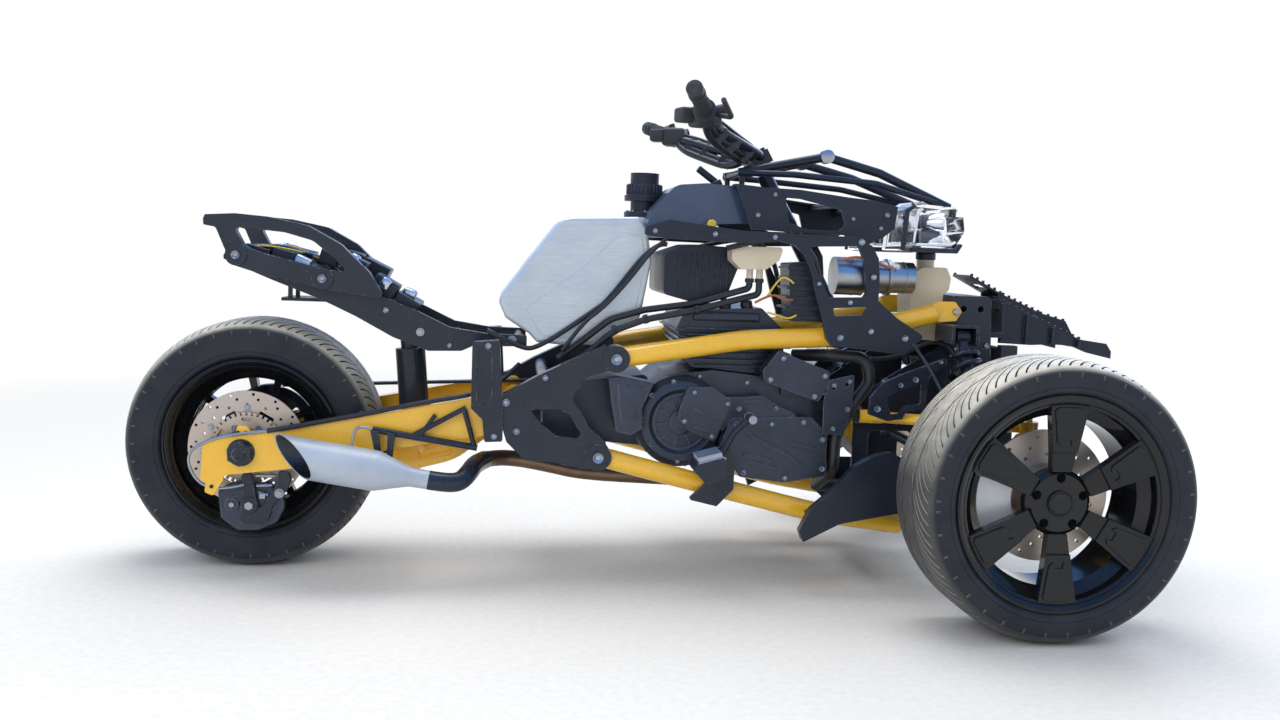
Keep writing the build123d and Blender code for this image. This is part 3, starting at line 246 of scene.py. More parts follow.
class Effects:
    """Shader groups that the finishes share."""

    def __init__(self) -> None:
        """Builds each group once."""
        self.edge = self._group("edge_wear_and_highlight", {"Radius": 0.0015, "Break scale": 60.0, "Amount": 0.5},
                                self._edge)
        self.mottle = self._group("mottle", {"Scale": 8.0}, self._mottle)
        self.grain = self._group("grain", {"Scale": 900.0}, self._grain)
        self.dust = self._group("dust", {"Scale": 14.0, "Amount": 0.3}, self._dust)
        self.scratch = self._group("scratch", {"Scale": 30.0, "Amount": 0.3}, self._scratch)

    @staticmethod
    def _group(name: str, numbers: dict[str, float],
               fill: Callable[[NodeSheet, Sockets], Sockets]) -> bpy.types.NodeTree:
        """Makes a shader group.

        Args:
            name: Name of the group.
            numbers: Default of each number input by name; Vector is added to them.
            fill: Function that adds the nodes and gives the result of each output by name.

        Returns:
            The group.
        """
        tree = bpy.data.node_groups.new(name, "ShaderNodeTree")
        tree.interface.new_socket("Vector", in_out="INPUT", socket_type="NodeSocketVector")
        for label, value in numbers.items():
            socket = tree.interface.new_socket(label, in_out="INPUT", socket_type="NodeSocketFloat")
            socket.default_value = value
        sheet = NodeSheet(tree)
        results = fill(sheet, sheet.add("NodeGroupInput").outputs)
        for label in results:
            kind = "NodeSocketVector" if label == "Normal" else "NodeSocketFloat"
            tree.interface.new_socket(label, in_out="OUTPUT", socket_type=kind)
        sheet.add("NodeGroupOutput", results)
        return tree

    @staticmethod
    def _edge(sheet: NodeSheet, given: Sockets) -> Sockets:
        """Rounded normal and a broken mask along sharp edges.

        Args:
            sheet: Sheet of the group.
            given: The group's inputs by name.

        Returns:
            The result of each output by name.
        """
        bevel = sheet.add("ShaderNodeBevel", {"Radius": given["Radius"]}, samples=4)
        surface = sheet.add("ShaderNodeNewGeometry")
        dot = sheet.add("ShaderNodeVectorMath", {0: bevel.outputs[0], 1: surface.outputs["Normal"]},
                        operation="DOT_PRODUCT")
        near = sheet.spread(dot.outputs["Value"], 0.995, 0.86)
        noise = sheet.noise(given["Vector"], given["Break scale"], 4.0, 0.65)
        level = sheet.math("SUBTRACT", 1.0, given["Amount"])
        broken = sheet.spread(sheet.math("SUBTRACT", noise, sheet.math("MULTIPLY", level, 0.7)), 0.0, 0.12)
        return {"Normal": bevel.outputs[0], "Mask": sheet.math("MULTIPLY", near, broken)}

    @staticmethod
    def _mottle(sheet: NodeSheet, given: Sockets) -> Sockets:
        """Slow, cloudy variation."""
        return {"Value": sheet.spread(sheet.noise(given["Vector"], given["Scale"], 5.0, 0.6), 0.3, 0.7)}

    @staticmethod
    def _grain(sheet: NodeSheet, given: Sockets) -> Sockets:
        """Fine grain height, with coarser waves under it.

        Args:
            sheet: Sheet of the group.
            given: The group's inputs by name.

        Returns:
            The result of each output by name.
        """
        fine = sheet.noise(given["Vector"], given["Scale"])
        coarse = sheet.noise(given["Vector"], sheet.math("MULTIPLY", given["Scale"], 0.06))
        return {"Height": sheet.math("MULTIPLY_ADD", coarse, 0.8, fine)}

    @staticmethod
    def _dust(sheet: NodeSheet, given: Sockets) -> Sockets:
        """Dust that gathers on upward faces, in patches.

        Args:
            sheet: Sheet of the group.
            given: The group's inputs by name.

        Returns:
            The result of each output by name.
        """
        up = sheet.spread(sheet.upward(), -0.2, 1.0, 0.25, 1.0)
        patch = sheet.spread(sheet.noise(given["Vector"], given["Scale"], 6.0, 0.7), 0.35, 0.75)
        return {"Mask": sheet.math("MULTIPLY", sheet.math("MULTIPLY", up, patch), given["Amount"],
                                   clamp=True)}

    @staticmethod
    def _scratch(sheet: NodeSheet, given: Sockets) -> Sockets:
        """Thin marks that run in two directions.

        Args:
            sheet: Sheet of the group.
            given: The group's inputs by name.

        Returns:
            The result of each output by name.
        """
        masks = []
        for angle, squeeze in ((0.5, 22.0), (-0.9, 30.0)):
            turned = sheet.add("ShaderNodeMapping", {"Vector": given["Vector"],
                                                     "Rotation": (0.3, angle, angle),
                                                     "Scale": (1.0, squeeze, squeeze)})
            masks.append(sheet.spread(sheet.noise(turned.outputs[0], given["Scale"], 1.0), 0.68, 0.74))
        return {"Mask": sheet.math("MULTIPLY", sheet.math("MAXIMUM", *masks), given["Amount"])}


DUST_COLOUR: Colour = (0.46, 0.42, 0.36)


@dataclass(frozen=True)
class Finish:
    """Surface finish with colour variation, rubbed edges, grain and dust; on engine_metal the rubbed edges
    are also painted edge highlights.

    Attributes:
        name: Name of the material.
        colour: Main colour.
        shade: Colour that mottles the main one.
        rough: Lowest and highest roughness.
        metallic: 0 for paint and plastic, 1 for bare metal.
        coat: Weight of the clear coat.
        mottle_scale: Size of the mottling, larger is finer.
        grain_scale: Fineness of the grain.
        grain_height: Strength of the grain's bump.
        wear: How much of the edges is rubbed through, 0 to 1; on engine_metal it also paints bright edge
            highlights.
        wear_colour: Colour under the finish; on engine_metal it is also the colour of painted edge
            highlights.
        wear_metallic: Whether the rubbed edge is bare metal.
        dust: How much dust lies on it.
        scratch: Strength of the scratches.
        edge: Radius of the rounded edges in metres.
        specular: Strength of the plain reflection.
        slot: Material slot of the record that it belongs to, where that has another name.
    """

    name: str
    colour: Colour
    shade: Colour
    rough: tuple[float, float] = (0.35, 0.5)
    metallic: float = 0.0
    coat: float = 0.0
    mottle_scale: float = 9.0
    grain_scale: float = 900.0
    grain_height: float = 0.06
    wear: float = 0.25
    wear_colour: Colour = (0.45, 0.45, 0.46)
    wear_metallic: bool = True
    dust: float = 0.2
    scratch: float = 0.15
    edge: float = 0.0015
    specular: float = 0.5
    slot: str = ""

    def make(self, effects: Effects) -> bpy.types.Material:
        """Builds the material.

        Args:
            effects: Groups that the finishes share.

        Returns:
            The finished material.
        """
        material, sheet, place = new_material(self.name)
        edge = self.group(sheet, effects.edge, place, {"Radius": self.edge, "Amount": self.wear})
        mottle = self.group(sheet, effects.mottle, place, {"Scale": self.mottle_scale}).outputs[0]
        grain = self.group(sheet, effects.grain, place, {"Scale": self.grain_scale}).outputs[0]
        dust = self.group(sheet, effects.dust, place, {"Amount": self.dust}).outputs[0]
        scratch = self.group(sheet, effects.scratch, place, {"Amount": self.scratch}).outputs[0]
        colour, height = self.pattern(sheet, place, sheet.mix(mottle, self.colour, self.shade), grain)
        # Rubbed edges and scratches; on engine_metal the edge mask also paints highlights along the edges.
        worn_and_highlit = sheet.math("MAXIMUM", edge.outputs["Mask"], sheet.math("MULTIPLY", scratch, 0.6))
        colour = sheet.mix(worn_and_highlit, colour, self.wear_colour)
        colour = sheet.mix(dust, colour, DUST_COLOUR)
        rough = sheet.spread(mottle, 0.0, 1.0, self.rough[0], self.rough[1])
        rough = sheet.math("ADD", rough, sheet.math("MULTIPLY", dust, 0.5), clamp=True)
        bump = sheet.add("ShaderNodeBump", {"Strength": self.grain_height, "Distance": 0.001,
                                            "Height": height, "Normal": edge.outputs["Normal"]})
        sockets: Sockets = {"Base Color": colour, "Roughness": rough, "Metallic": self.metallic,
                            "Coat Weight": self.coat, "Coat Roughness": 0.05,
                            "Specular IOR Level": self.specular, "Normal": bump.outputs[0]}
        if self.wear_metallic and self.metallic < 1.0:
            bare = sheet.math("MULTIPLY", edge.outputs["Mask"], 0.8)
            sockets["Metallic"] = sheet.math("MAXIMUM", bare, self.metallic)
        shader = sheet.add("ShaderNodeBsdfPrincipled", sockets)
        sheet.add("ShaderNodeOutputMaterial", {"Surface": shader.outputs[0]})
        material.diffuse_color = (*self.colour, 1.0)
        return material

    @staticmethod
    def group(sheet: NodeSheet, tree: bpy.types.NodeTree, place: Socket, values: Sockets) -> bpy.types.Node:
        """Adds a shared group.

        Args:
            sheet: Sheet of the material.
            tree: The group.
            place: Vector that the group reads.
            values: Its other inputs.

        Returns:
            The group's node.
        """
        node = sheet.add("ShaderNodeGroup")
        node.node_tree = tree
        sheet.tree.links.new(place, node.inputs["Vector"])
        for name, value in values.items():
            node.inputs[name].default_value = value
        return node

    def pattern(self, sheet: NodeSheet, place: Socket, colour: Socket,
                height: Socket) -> tuple[Socket, Socket]:
        """Colour and height before wear and dust; a plain finish keeps them."""
        return colour, height


@dataclass(frozen=True)
class BrushedMetal(Finish):
    """Bare metal with fine lines along one axis.

    Attributes:
        along: Stretch of the lines on each axis; the smallest is their direction.
        streak_colour: Colour of the cloudy streaks.
    """

    along: Point = (3.0, 60.0, 60.0)
    streak_colour: Colour = (0.42, 0.5, 0.6)

    def pattern(self, sheet: NodeSheet, place: Socket, colour: Socket,
                height: Socket) -> tuple[Socket, Socket]:
        """Adds the brushed lines and the streaks.

        Args:
            sheet: Sheet of the material.
            place: Object coordinates.
            colour: Mottled colour.
            height: Grain height.

        Returns:
            The colour and the height.
        """
        lined = sheet.add("ShaderNodeMapping", {"Vector": place, "Rotation": (0.0, radians(38.0), 0.0),
                                                "Scale": self.along})
        brushed = sheet.noise(lined.outputs[0], 9.0, 6.0)
        streak = sheet.spread(brushed, 0.42, 0.72, 0.0, 0.75)
        return sheet.mix(streak, colour, self.streak_colour), sheet.math("ADD", height, brushed)


@dataclass(frozen=True)
class TyreRubber(Finish):
    """Rubber whose tread carries pale sandy dust where the tread attribute is high, paler on upward faces
    with painted sunlight.

    Attributes:
        sand: Colour of the sandy dust, which also paints the sunlit top of the tread.
    """

    sand: Colour = (0.7, 0.68, 0.62)

    def pattern(self, sheet: NodeSheet, place: Socket, colour: Socket,
                height: Socket) -> tuple[Socket, Socket]:
        """Adds the sandy dust and the painted sunlight on the tread's upward faces.

        Args:
            sheet: Sheet of the material.
            place: Object coordinates.
            colour: Mottled colour.
            height: Grain height.

        Returns:
            The colour and the height.
        """
        tread = sheet.add("ShaderNodeAttribute", attribute_name="tread").outputs["Fac"]
        patch = sheet.spread(sheet.noise(place, 26.0, 8.0, 0.7), 0.3, 0.62, 0.6, 1.0)
        # Upward faces get more of the pale colour: painted sunlight on the top of the tyre.
        patch = sheet.math("MULTIPLY", patch, sheet.spread(sheet.upward(), 0.1, 0.75, 0.1, 1.0))
        cover = sheet.math("MULTIPLY", tread, patch, clamp=True)
        return sheet.mix(cover, colour, self.sand), height


@dataclass(frozen=True)
class LampGlass(Finish):
    """Clear lens with a little dust."""

    def make(self, effects: Effects) -> bpy.types.Material:
        """Builds the glass material.

        Args:
            effects: Groups that the finishes share.

        Returns:
            The finished material.
        """
        material, sheet, place = new_material(self.name)
        mottle = self.group(sheet, effects.mottle, place, {"Scale": self.mottle_scale}).outputs[0]
        dust = self.group(sheet, effects.dust, place, {"Amount": self.dust}).outputs[0]
        colour = sheet.mix(dust, sheet.mix(mottle, self.colour, self.shade), DUST_COLOUR)
        rough = sheet.spread(mottle, 0.0, 1.0, self.rough[0], self.rough[1])
        shader = sheet.add("ShaderNodeBsdfPrincipled", {
            "Base Color": colour, "Roughness": rough, "Metallic": 0.0, "Transmission Weight": 1.0,
            "IOR": 1.25})
        sheet.add("ShaderNodeOutputMaterial", {"Surface": shader.outputs[0]})
        return material


class Finishes:
    """Every finish of the vehicle, built once."""

    LIST: tuple[Finish, ...] = (
        Finish("yellow_paint", (0.93, 0.56, 0.02), (0.88, 0.47, 0.015), rough=(0.22, 0.34), coat=0.7,
               wear=0.12, wear_colour=(0.25, 0.2, 0.15), dust=0.14, scratch=0.1, edge=0.002,
               grain_height=0.02),
        # black_paint and its shade are black with a blue tint that paints the sky's reflection on the black
        # parts.
        Finish("black_paint", (0.01, 0.0155, 0.029), (0.016, 0.023, 0.04), rough=(0.22, 0.36), coat=0.1,
               specular=0.34, wear=0.3, dust=0.03, scratch=0.1, edge=0.0018, grain_height=0.06),
        Finish("gloss_black", (0.004, 0.0045, 0.006), (0.007, 0.008, 0.01), rough=(0.08, 0.16), coat=0.3,
               specular=0.22, wear=0.06, dust=0.035, scratch=0.05, edge=0.0022, grain_height=0.01),
        # engine_metal's wide, bright rubbed edges are partly real and partly painted highlights along the
        # covers' edges.
        Finish("engine_metal", (0.022, 0.031, 0.052), (0.045, 0.058, 0.085), rough=(0.24, 0.4), metallic=0.4,
               wear=0.5, wear_colour=(0.34, 0.36, 0.4), dust=0.05, edge=0.0022, grain_scale=600.0,
               grain_height=0.12),
        BrushedMetal("raw_aluminium", (0.66, 0.705, 0.75), (0.49, 0.55, 0.62), rough=(0.24, 0.42),
                     metallic=0.35, mottle_scale=5.0, wear=0.2, wear_colour=(0.8, 0.82, 0.85), dust=0.03,
                     scratch=0.4, grain_height=0.1),
        Finish("silencer_paint", (0.4, 0.46, 0.55), (0.5, 0.56, 0.65), rough=(0.36, 0.5), metallic=0.15,
               wear=0.15, dust=0.06, grain_height=0.05),
        Finish("brake_steel", (0.5, 0.41, 0.33), (0.62, 0.54, 0.47), rough=(0.3, 0.5), metallic=0.85,
               wear=0.1, dust=0.12, grain_height=0.08, edge=0.0006),
        Finish("steel", (0.42, 0.44, 0.47), (0.32, 0.34, 0.37), rough=(0.25, 0.4), metallic=1.0,
               wear=0.1, dust=0.12, edge=0.0008),
        Finish("caliper_silver", (0.7, 0.72, 0.75), (0.6, 0.62, 0.66), rough=(0.3, 0.42), metallic=0.3,
               coat=0.4, wear=0.1, dust=0.2, edge=0.002),
        # plastic_black is black with the same blue tint, a painted reflection of the sky.
        Finish("plastic_black", (0.01, 0.0155, 0.029), (0.016, 0.023, 0.04), rough=(0.28, 0.42),
               specular=0.34, wear=0.4, wear_colour=(0.16, 0.19, 0.24), wear_metallic=False, dust=0.03,
               scratch=0.14, grain_height=0.14),
        Finish("cover_blue_black", (0.022, 0.045, 0.11), (0.03, 0.06, 0.14), rough=(0.3, 0.42), coat=0.5,
               wear=0.1, wear_colour=(0.12, 0.14, 0.18), wear_metallic=False, dust=0.12, grain_height=0.04,
               edge=0.003),
        Finish("cream_plastic", (0.78, 0.7, 0.55), (0.66, 0.57, 0.42), rough=(0.35, 0.5), wear=0.1,
               wear_colour=(0.85, 0.8, 0.7), wear_metallic=False, dust=0.25, grain_height=0.1, edge=0.003),
        Finish("hose_rubber", (0.009, 0.01, 0.013), (0.016, 0.018, 0.022), rough=(0.3, 0.46), wear=0.1,
               wear_colour=(0.06, 0.06, 0.065), wear_metallic=False, dust=0.08, scratch=0.08,
               grain_height=0.15),
        TyreRubber("tyre_rubber", (0.01, 0.013, 0.02), (0.018, 0.022, 0.031), rough=(0.4, 0.58), specular=0.3,
                   wear=0.2, wear_colour=(0.07, 0.07, 0.075), wear_metallic=False, dust=0.1, scratch=0.05,
                   grain_height=0.2, mottle_scale=16.0, edge=0.001),
        LampGlass("lamp_lens", (0.97, 0.98, 1.0), (0.9, 0.93, 0.97), rough=(0.02, 0.08), dust=0.05),
        Finish("grip_rubber", (0.02, 0.021, 0.025), (0.03, 0.032, 0.037), rough=(0.5, 0.65), wear=0.1,
               wear_colour=(0.07, 0.07, 0.075), wear_metallic=False, dust=0.1, grain_height=0.3),
        Finish("wire_yellow", (0.8, 0.62, 0.06), (0.65, 0.48, 0.05), rough=(0.35, 0.5), wear=0.0, dust=0.15,
               slot="yellow_paint"),
        Finish("wire_rust", (0.42, 0.12, 0.04), (0.3, 0.09, 0.04), rough=(0.4, 0.55), wear=0.0, dust=0.15,
               slot="hose_rubber"),
        Finish("wire_blue", (0.05, 0.14, 0.34), (0.04, 0.1, 0.25), rough=(0.35, 0.5), wear=0.0, dust=0.15,
               slot="hose_rubber"),
        Finish("chrome", (0.8, 0.83, 0.88), (0.6, 0.65, 0.74), rough=(0.06, 0.16), metallic=1.0, wear=0.0,
               dust=0.04, grain_height=0.02, slot="steel"),
        Finish("heated_steel", (0.24, 0.15, 0.09), (0.13, 0.085, 0.06), rough=(0.25, 0.45), metallic=0.85,
               mottle_scale=14.0, wear=0.1, dust=0.15, slot="silencer_paint"),
        Finish("foil", (0.62, 0.66, 0.72), (0.35, 0.42, 0.5), rough=(0.14, 0.32), metallic=1.0,
               grain_scale=90.0, grain_height=0.9, mottle_scale=40.0, wear=0.0, dust=0.1,
               slot="raw_aluminium"),
    )

    def __init__(self) -> None:
        """Builds the materials."""
        self.effects = Effects()
        self.table = {finish.name: finish.make(self.effects) for finish in self.LIST}
        self.slots = {finish.name: finish.slot or finish.name for finish in self.LIST}

    def dress(self, obj: bpy.types.Object, finish: str) -> None:
        """Gives an object one finish."""
        obj.data.materials.clear()
        obj.data.materials.append(self.table[finish])

    def piece(self, name: str, data: bpy.types.ID, finish: str, body: Body) -> bpy.types.Object:
        """Puts a mesh or a curve in the scene as one finished piece.

        Args:
            name: Name of the piece.
            data: Its mesh or curve.
            finish: Name of the finish.
            body: Body that the piece rides on.

        Returns:
            The new object.
        """
        obj = new_object(name, data)
        self.dress(obj, finish)
        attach(obj, body.value)
        return obj


# Camera, floor and light


@dataclass(frozen=True)
class Studio:
    """Camera at the photograph's place, pale floor and soft light.

    Attributes:
        place: Camera position in metres.
        yaw: Turn to the right, in degrees.
        pitch: Tilt upwards, in degrees.
        roll: Turn about the view, in degrees.
        focal_px: Focal length in pixels of a picture 1280 wide.
    """

    place: Point = (-0.3030, -2.9661, 0.8068)
    yaw: float = 6.413
    pitch: float = -5.412
    roll: float = 2.120
    focal_px: float = 1162.1

    def build(self) -> None:
        """Makes the camera, the floor, the world and the lamps."""
        self._camera()
        self._floor()
        self._world()
        self._lamp("lamp_above", (-0.4, 0.9, 4.6), (0.1, 0.0, 0.3), 3.4, 150.0, (1.0, 0.95, 0.87))
        self._lamp("lamp_front_left", (3.4, 2.6, 3.0), (0.4, 0.0, 0.4), 2.2, 75.0, (0.8, 0.9, 1.0))
        self._lamp("lamp_camera_side", (-2.2, -4.2, 2.8), (0.1, 0.0, 0.45), 2.8, 80.0, (1.0, 0.97, 0.92))

    def _camera(self) -> None:
        """Camera from the fitted angles."""
        yaw, pitch, roll = (radians(v) for v in (self.yaw, self.pitch, self.roll))
        forward = Vector((sin(yaw) * cos(pitch), cos(yaw) * cos(pitch), sin(pitch)))
        right = Vector((cos(yaw), -sin(yaw), 0.0))
        up = right.cross(forward)
        right, up = right * cos(roll) + up * sin(roll), up * cos(roll) - right * sin(roll)
        data = bpy.data.cameras.new("camera")
        data.sensor_width = 36.0
        data.lens = self.focal_px * 36.0 / 1280.0
        camera = new_object("camera", data)
        turn = Matrix((right, up, -forward)).transposed()
        camera.matrix_world = Matrix.Translation(self.place) @ turn.to_4x4()
        bpy.context.scene.camera = camera

    @staticmethod
    def _floor() -> None:
        """Large pale floor, a little uneven, that fades to white where a camera or a mirror sees it."""
        mesh = bpy.data.meshes.new("floor")
        shape = bmesh.new()
        bmesh.ops.create_circle(shape, cap_ends=True, segments=96, radius=60.0)
        shape.to_mesh(mesh)
        shape.free()
        floor = new_object("floor", mesh)
        material, sheet, place = new_material("pale_floor")
        noise = sheet.noise(place, 60.0, 5.0)
        colour = sheet.mix(sheet.spread(noise, 0.3, 0.7), (0.8, 0.8, 0.805), (0.87, 0.87, 0.872))
        bump = sheet.add("ShaderNodeBump", {"Strength": 0.15, "Distance": 0.002, "Height": noise})
        shader = sheet.add("ShaderNodeBsdfPrincipled", {"Base Color": colour, "Roughness": 0.85,
                                                        "Normal": bump.outputs[0]})
        distance = sheet.add("ShaderNodeVectorMath", {0: place}, operation="LENGTH").outputs["Value"]
        white = sheet.add("ShaderNodeEmission", {"Color": (1.0, 1.0, 1.0), "Strength": 1.0})
        ray = sheet.add("ShaderNodeLightPath").outputs
        seen = sheet.math("MAXIMUM", ray["Is Camera Ray"], ray["Is Glossy Ray"])
        seen = sheet.math("MAXIMUM", seen, ray["Is Transmission Ray"])
        far = sheet.math("MULTIPLY", sheet.spread(distance, 1.6, 4.6), seen)
        fade = sheet.add("ShaderNodeMixShader", {0: far, 1: shader.outputs[0], 2: white.outputs[0]})
        sheet.add("ShaderNodeOutputMaterial", {"Surface": fade.outputs[0]})
        mesh.materials.append(material)

    @staticmethod
    def _world() -> None:
        """White background for the camera, a sky for reflections and a pale light for the rest."""
        world = bpy.data.worlds.new("sky")
        bpy.context.scene.world = world
        world.use_nodes = True
        sheet = NodeSheet(world.node_tree)
        place = sheet.add("ShaderNodeTexCoord").outputs["Generated"]
        height = sheet.add("ShaderNodeSeparateXYZ", {0: place}).outputs[2]
        sky = sheet.mix(sheet.spread(height, 0.03, 0.34), (1.0, 1.0, 1.0), (0.2, 0.5, 1.15))
        even = sheet.mix(sheet.spread(height, -0.1, 0.7), (0.5, 0.49, 0.48), (0.78, 0.84, 0.92))
        white = sheet.add("ShaderNodeBackground", {"Color": (1.0, 1.0, 1.0), "Strength": 1.0})
        ray = sheet.add("ShaderNodeLightPath").outputs
        lit = sheet.add("ShaderNodeBackground", {"Color": even, "Strength": 0.72})
        mirrored = sheet.add("ShaderNodeBackground", {"Color": sky, "Strength": 1.0})
        shown = sheet.add("ShaderNodeMixShader", {0: ray["Is Glossy Ray"], 1: lit.outputs[0],
                                                  2: mirrored.outputs[0]})
        seen = sheet.math("MAXIMUM", ray["Is Camera Ray"], ray["Is Transmission Ray"])
        pick = sheet.add("ShaderNodeMixShader", {0: seen, 1: shown.outputs[0], 2: white.outputs[0]})
        sheet.add("ShaderNodeOutputWorld", {"Surface": pick.outputs[0]})

    @staticmethod
    def _lamp(name: str, place: Point, aim: Point, size: float, watts: float, colour: Colour) -> None:
        """Adds a soft square lamp.

        Args:
            name: Name of the lamp.
            place: Its position in metres.
            aim: Point that it faces.
            size: Side of the square in metres.
            watts: Power.
            colour: Colour of the light.
        """
        data = bpy.data.lights.new(name, "AREA")
        data.size = size
        data.energy = watts
        data.color = colour
        lamp = new_object(name, data)
        lamp.location = place
        lamp.rotation_mode = "QUATERNION"
        lamp.rotation_quaternion = (Vector(aim) - Vector(place)).to_track_quat("-Z", "Y")
        lamp.visible_glossy = place[1] > 0.0


# Mesh tools


class Head(Enum):
    """Kinds of fastener head."""

    HEX = "hex"
    SOCKET = "socket"
    FLANGE = "flange"


@dataclass
class Work:
    """One piece's mesh while it is shaped.

    Attributes:
        name: Name of the piece.
        finishes: The vehicle's finishes.
        mesh: The bmesh that the tools add to.
    """

    name: str
    finishes: Finishes
    mesh: bmesh.types.BMesh = field(default_factory=bmesh.new)

    @staticmethod
    def frame(origin: Vector, axis: Vector) -> Matrix:
        """Placement whose Z runs along an axis.

        Args:
            origin: Place of the new origin.
            axis: Direction of the new Z.

        Returns:
            The placement matrix.
        """
        return Matrix.Translation(origin) @ axis.normalized().to_track_quat("Z", "Y").to_matrix().to_4x4()

    def lathe(self, profile: Sequence[tuple[float, float]], origin: Vector, axis: Vector,
              steps: int = 48) -> list:
        """Turns an outline about an axis.

        Args:
            profile: (radius, distance along the axis) in millimetres.
            origin: Point on the axis, in metres.
            axis: Its direction.
            steps: Number of sides.

        Returns:
            The new vertices.
        """
        place = self.frame(origin, axis)
        before = set(self.mesh.verts)
        ring = [self.mesh.verts.new(place @ Vector((radius / 1000.0, 0.0, along / 1000.0)))
                for radius, along in profile]
        edges = [self.mesh.edges.new(pair) for pair in zip(ring, ring[1:])]
        bmesh.ops.spin(self.mesh, geom=ring + edges, cent=origin, axis=axis.normalized(), angle=2 * pi,
                       steps=steps, use_merge=True, use_normal_flip=False)
        made = [v for v in self.mesh.verts if v not in before]
        bmesh.ops.remove_doubles(self.mesh, verts=made, dist=1e-6)
        return [v for v in self.mesh.verts if v not in before]

    def cylinder(self, start: Vector, end: Vector, radius: float, segments: int = 24,
                 rim: float = 0.0) -> list:
        """Adds a round bar.

        Args:
            start: Middle of the first end.
            end: Middle of the other end.
            radius: Its radius, in millimetres.
            segments: Number of sides.
            rim: Width of the rounded end edges, in millimetres.

        Returns:
            The new vertices.
        """
        axis = end - start
        before = set(self.mesh.verts)
        made = bmesh.ops.create_cone(
            self.mesh, cap_ends=True, segments=segments, radius1=radius / 1000.0, radius2=radius / 1000.0,
            depth=axis.length, matrix=self.frame((start + end) / 2, axis))["verts"]
        if rim:
            ends = [e for e in {e for v in made for e in v.link_edges}
                    if any(len(f.verts) > 4 for f in e.link_faces)]
            self.round(ends, rim, 2)
        return [v for v in self.mesh.verts if v not in before]

    def block(self, low: Point, high: Point, rim: float = 0.0, turn: Matrix | None = None,
              segments: int = 2) -> list:
        """Adds a box between two corners given in millimetres from the rear axle.

        Args:
            low: Lowest corner.
            high: Highest corner.
            rim: Width of the rounded edges, in millimetres.
            turn: Rotation about the box's middle.
            segments: Steps of the rounding.

        Returns:
            The new vertices.
        """
        first, last = at(*low), at(*high)
        size = Matrix.Diagonal((last - first).to_4d())
        size[3][3] = 1.0
        place = Matrix.Translation((first + last) / 2) @ (turn.to_4x4()
                                                          if turn else Matrix.Identity(4)) @ size
        made = bmesh.ops.create_cube(self.mesh, size=1.0, matrix=place)["verts"]
        if rim:
            self.round({e for v in made for e in v.link_edges}, rim, segments)
        return made

    def plate(self, outline: Sequence[tuple[float, float]], low_y: float, high_y: float,
              rim: float = 0.0) -> list:
        """Adds a flat plate from its side outline.

        Args:
            outline: (x, z) corners in millimetres from the rear axle.
            low_y: One face's y.
            high_y: The other face's y.
            rim: Width of the rounded edges, in millimetres.

        Returns:
            The new vertices.
        """
        corners = [self.mesh.verts.new(at(x, low_y, z)) for x, z in outline]
        face = self.mesh.faces.new(corners)
        grown = bmesh.ops.extrude_face_region(self.mesh, geom=[face])["geom"]
        moved = [v for v in grown if isinstance(v, bmesh.types.BMVert)]
        bmesh.ops.translate(self.mesh, verts=moved, vec=(0.0, (high_y - low_y) / 1000.0, 0.0))
        made = corners + moved
        bmesh.ops.recalc_face_normals(self.mesh, faces=list({f for v in made for f in v.link_faces}))
        if rim:
            self.round([e for e in {e for v in made for e in v.link_edges} if len(e.link_faces) == 2], rim, 2)
        return made

    def round(self, edges: Iterable, width: float, segments: int = 2) -> None:
        """Rounds edges by a width in millimetres."""
        bmesh.ops.bevel(self.mesh, geom=list(edges), offset=width / 1000.0, offset_type="OFFSET",
                        segments=segments, profile=0.5, affect="EDGES", clamp_overlap=True, material=-1)

    def bolt(self, point: Vector, axis: Vector, radius: float, height: float, head: Head = Head.HEX) -> None:
        """Adds a fastener head that stands on a surface.

        Args:
            point: Middle of its seat.
            axis: Outward direction.
            radius: Half the width of the head, in millimetres.
            height: How far it stands out, in millimetres.
            head: Kind of head.
        """
        out = axis.normalized() / 1000.0
        if head is Head.SOCKET:
            made = self.cylinder(point - out, point + out * height, radius, 20, rim=radius * 0.12)
            top = max({f for v in made for f in v.link_faces}, key=lambda f: f.calc_center_median().dot(out))
            bmesh.ops.inset_region(self.mesh, faces=[top], thickness=radius * 0.42 / 1000.0)
            bmesh.ops.translate(self.mesh, verts=list(top.verts), vec=-out * height * 0.55)
            return
        if head is Head.FLANGE:
            self.cylinder(point - out, point + out * height * 0.3, radius * 1.45, 20, rim=radius * 0.1)
        self.cylinder(point - out, point + out * height, radius, 6, rim=radius * 0.14)

    def ring_of_bolts(self, centre: Vector, axis: Vector, circle: float, count: int, radius: float,
                      height: float, start: float = 0.0, head: Head = Head.HEX) -> None:
        """Adds equal fasteners on a circle.

        Args:
            centre: Middle of the circle.
            axis: Outward direction.
            circle: Radius of the circle, in millimetres.
            count: Number of fasteners.
            radius: Half the width of each head, in millimetres.
            height: Height of each head, in millimetres.
            start: Angle of the first one, in degrees.
            head: Kind of head.
        """
        place = self.frame(centre, axis)
        for i in range(count):
            angle = radians(start + 360.0 * i / count)
            spot = place @ Vector((circle / 1000.0 * cos(angle), circle / 1000.0 * sin(angle), 0.0))
            self.bolt(spot, axis, radius, height, head)

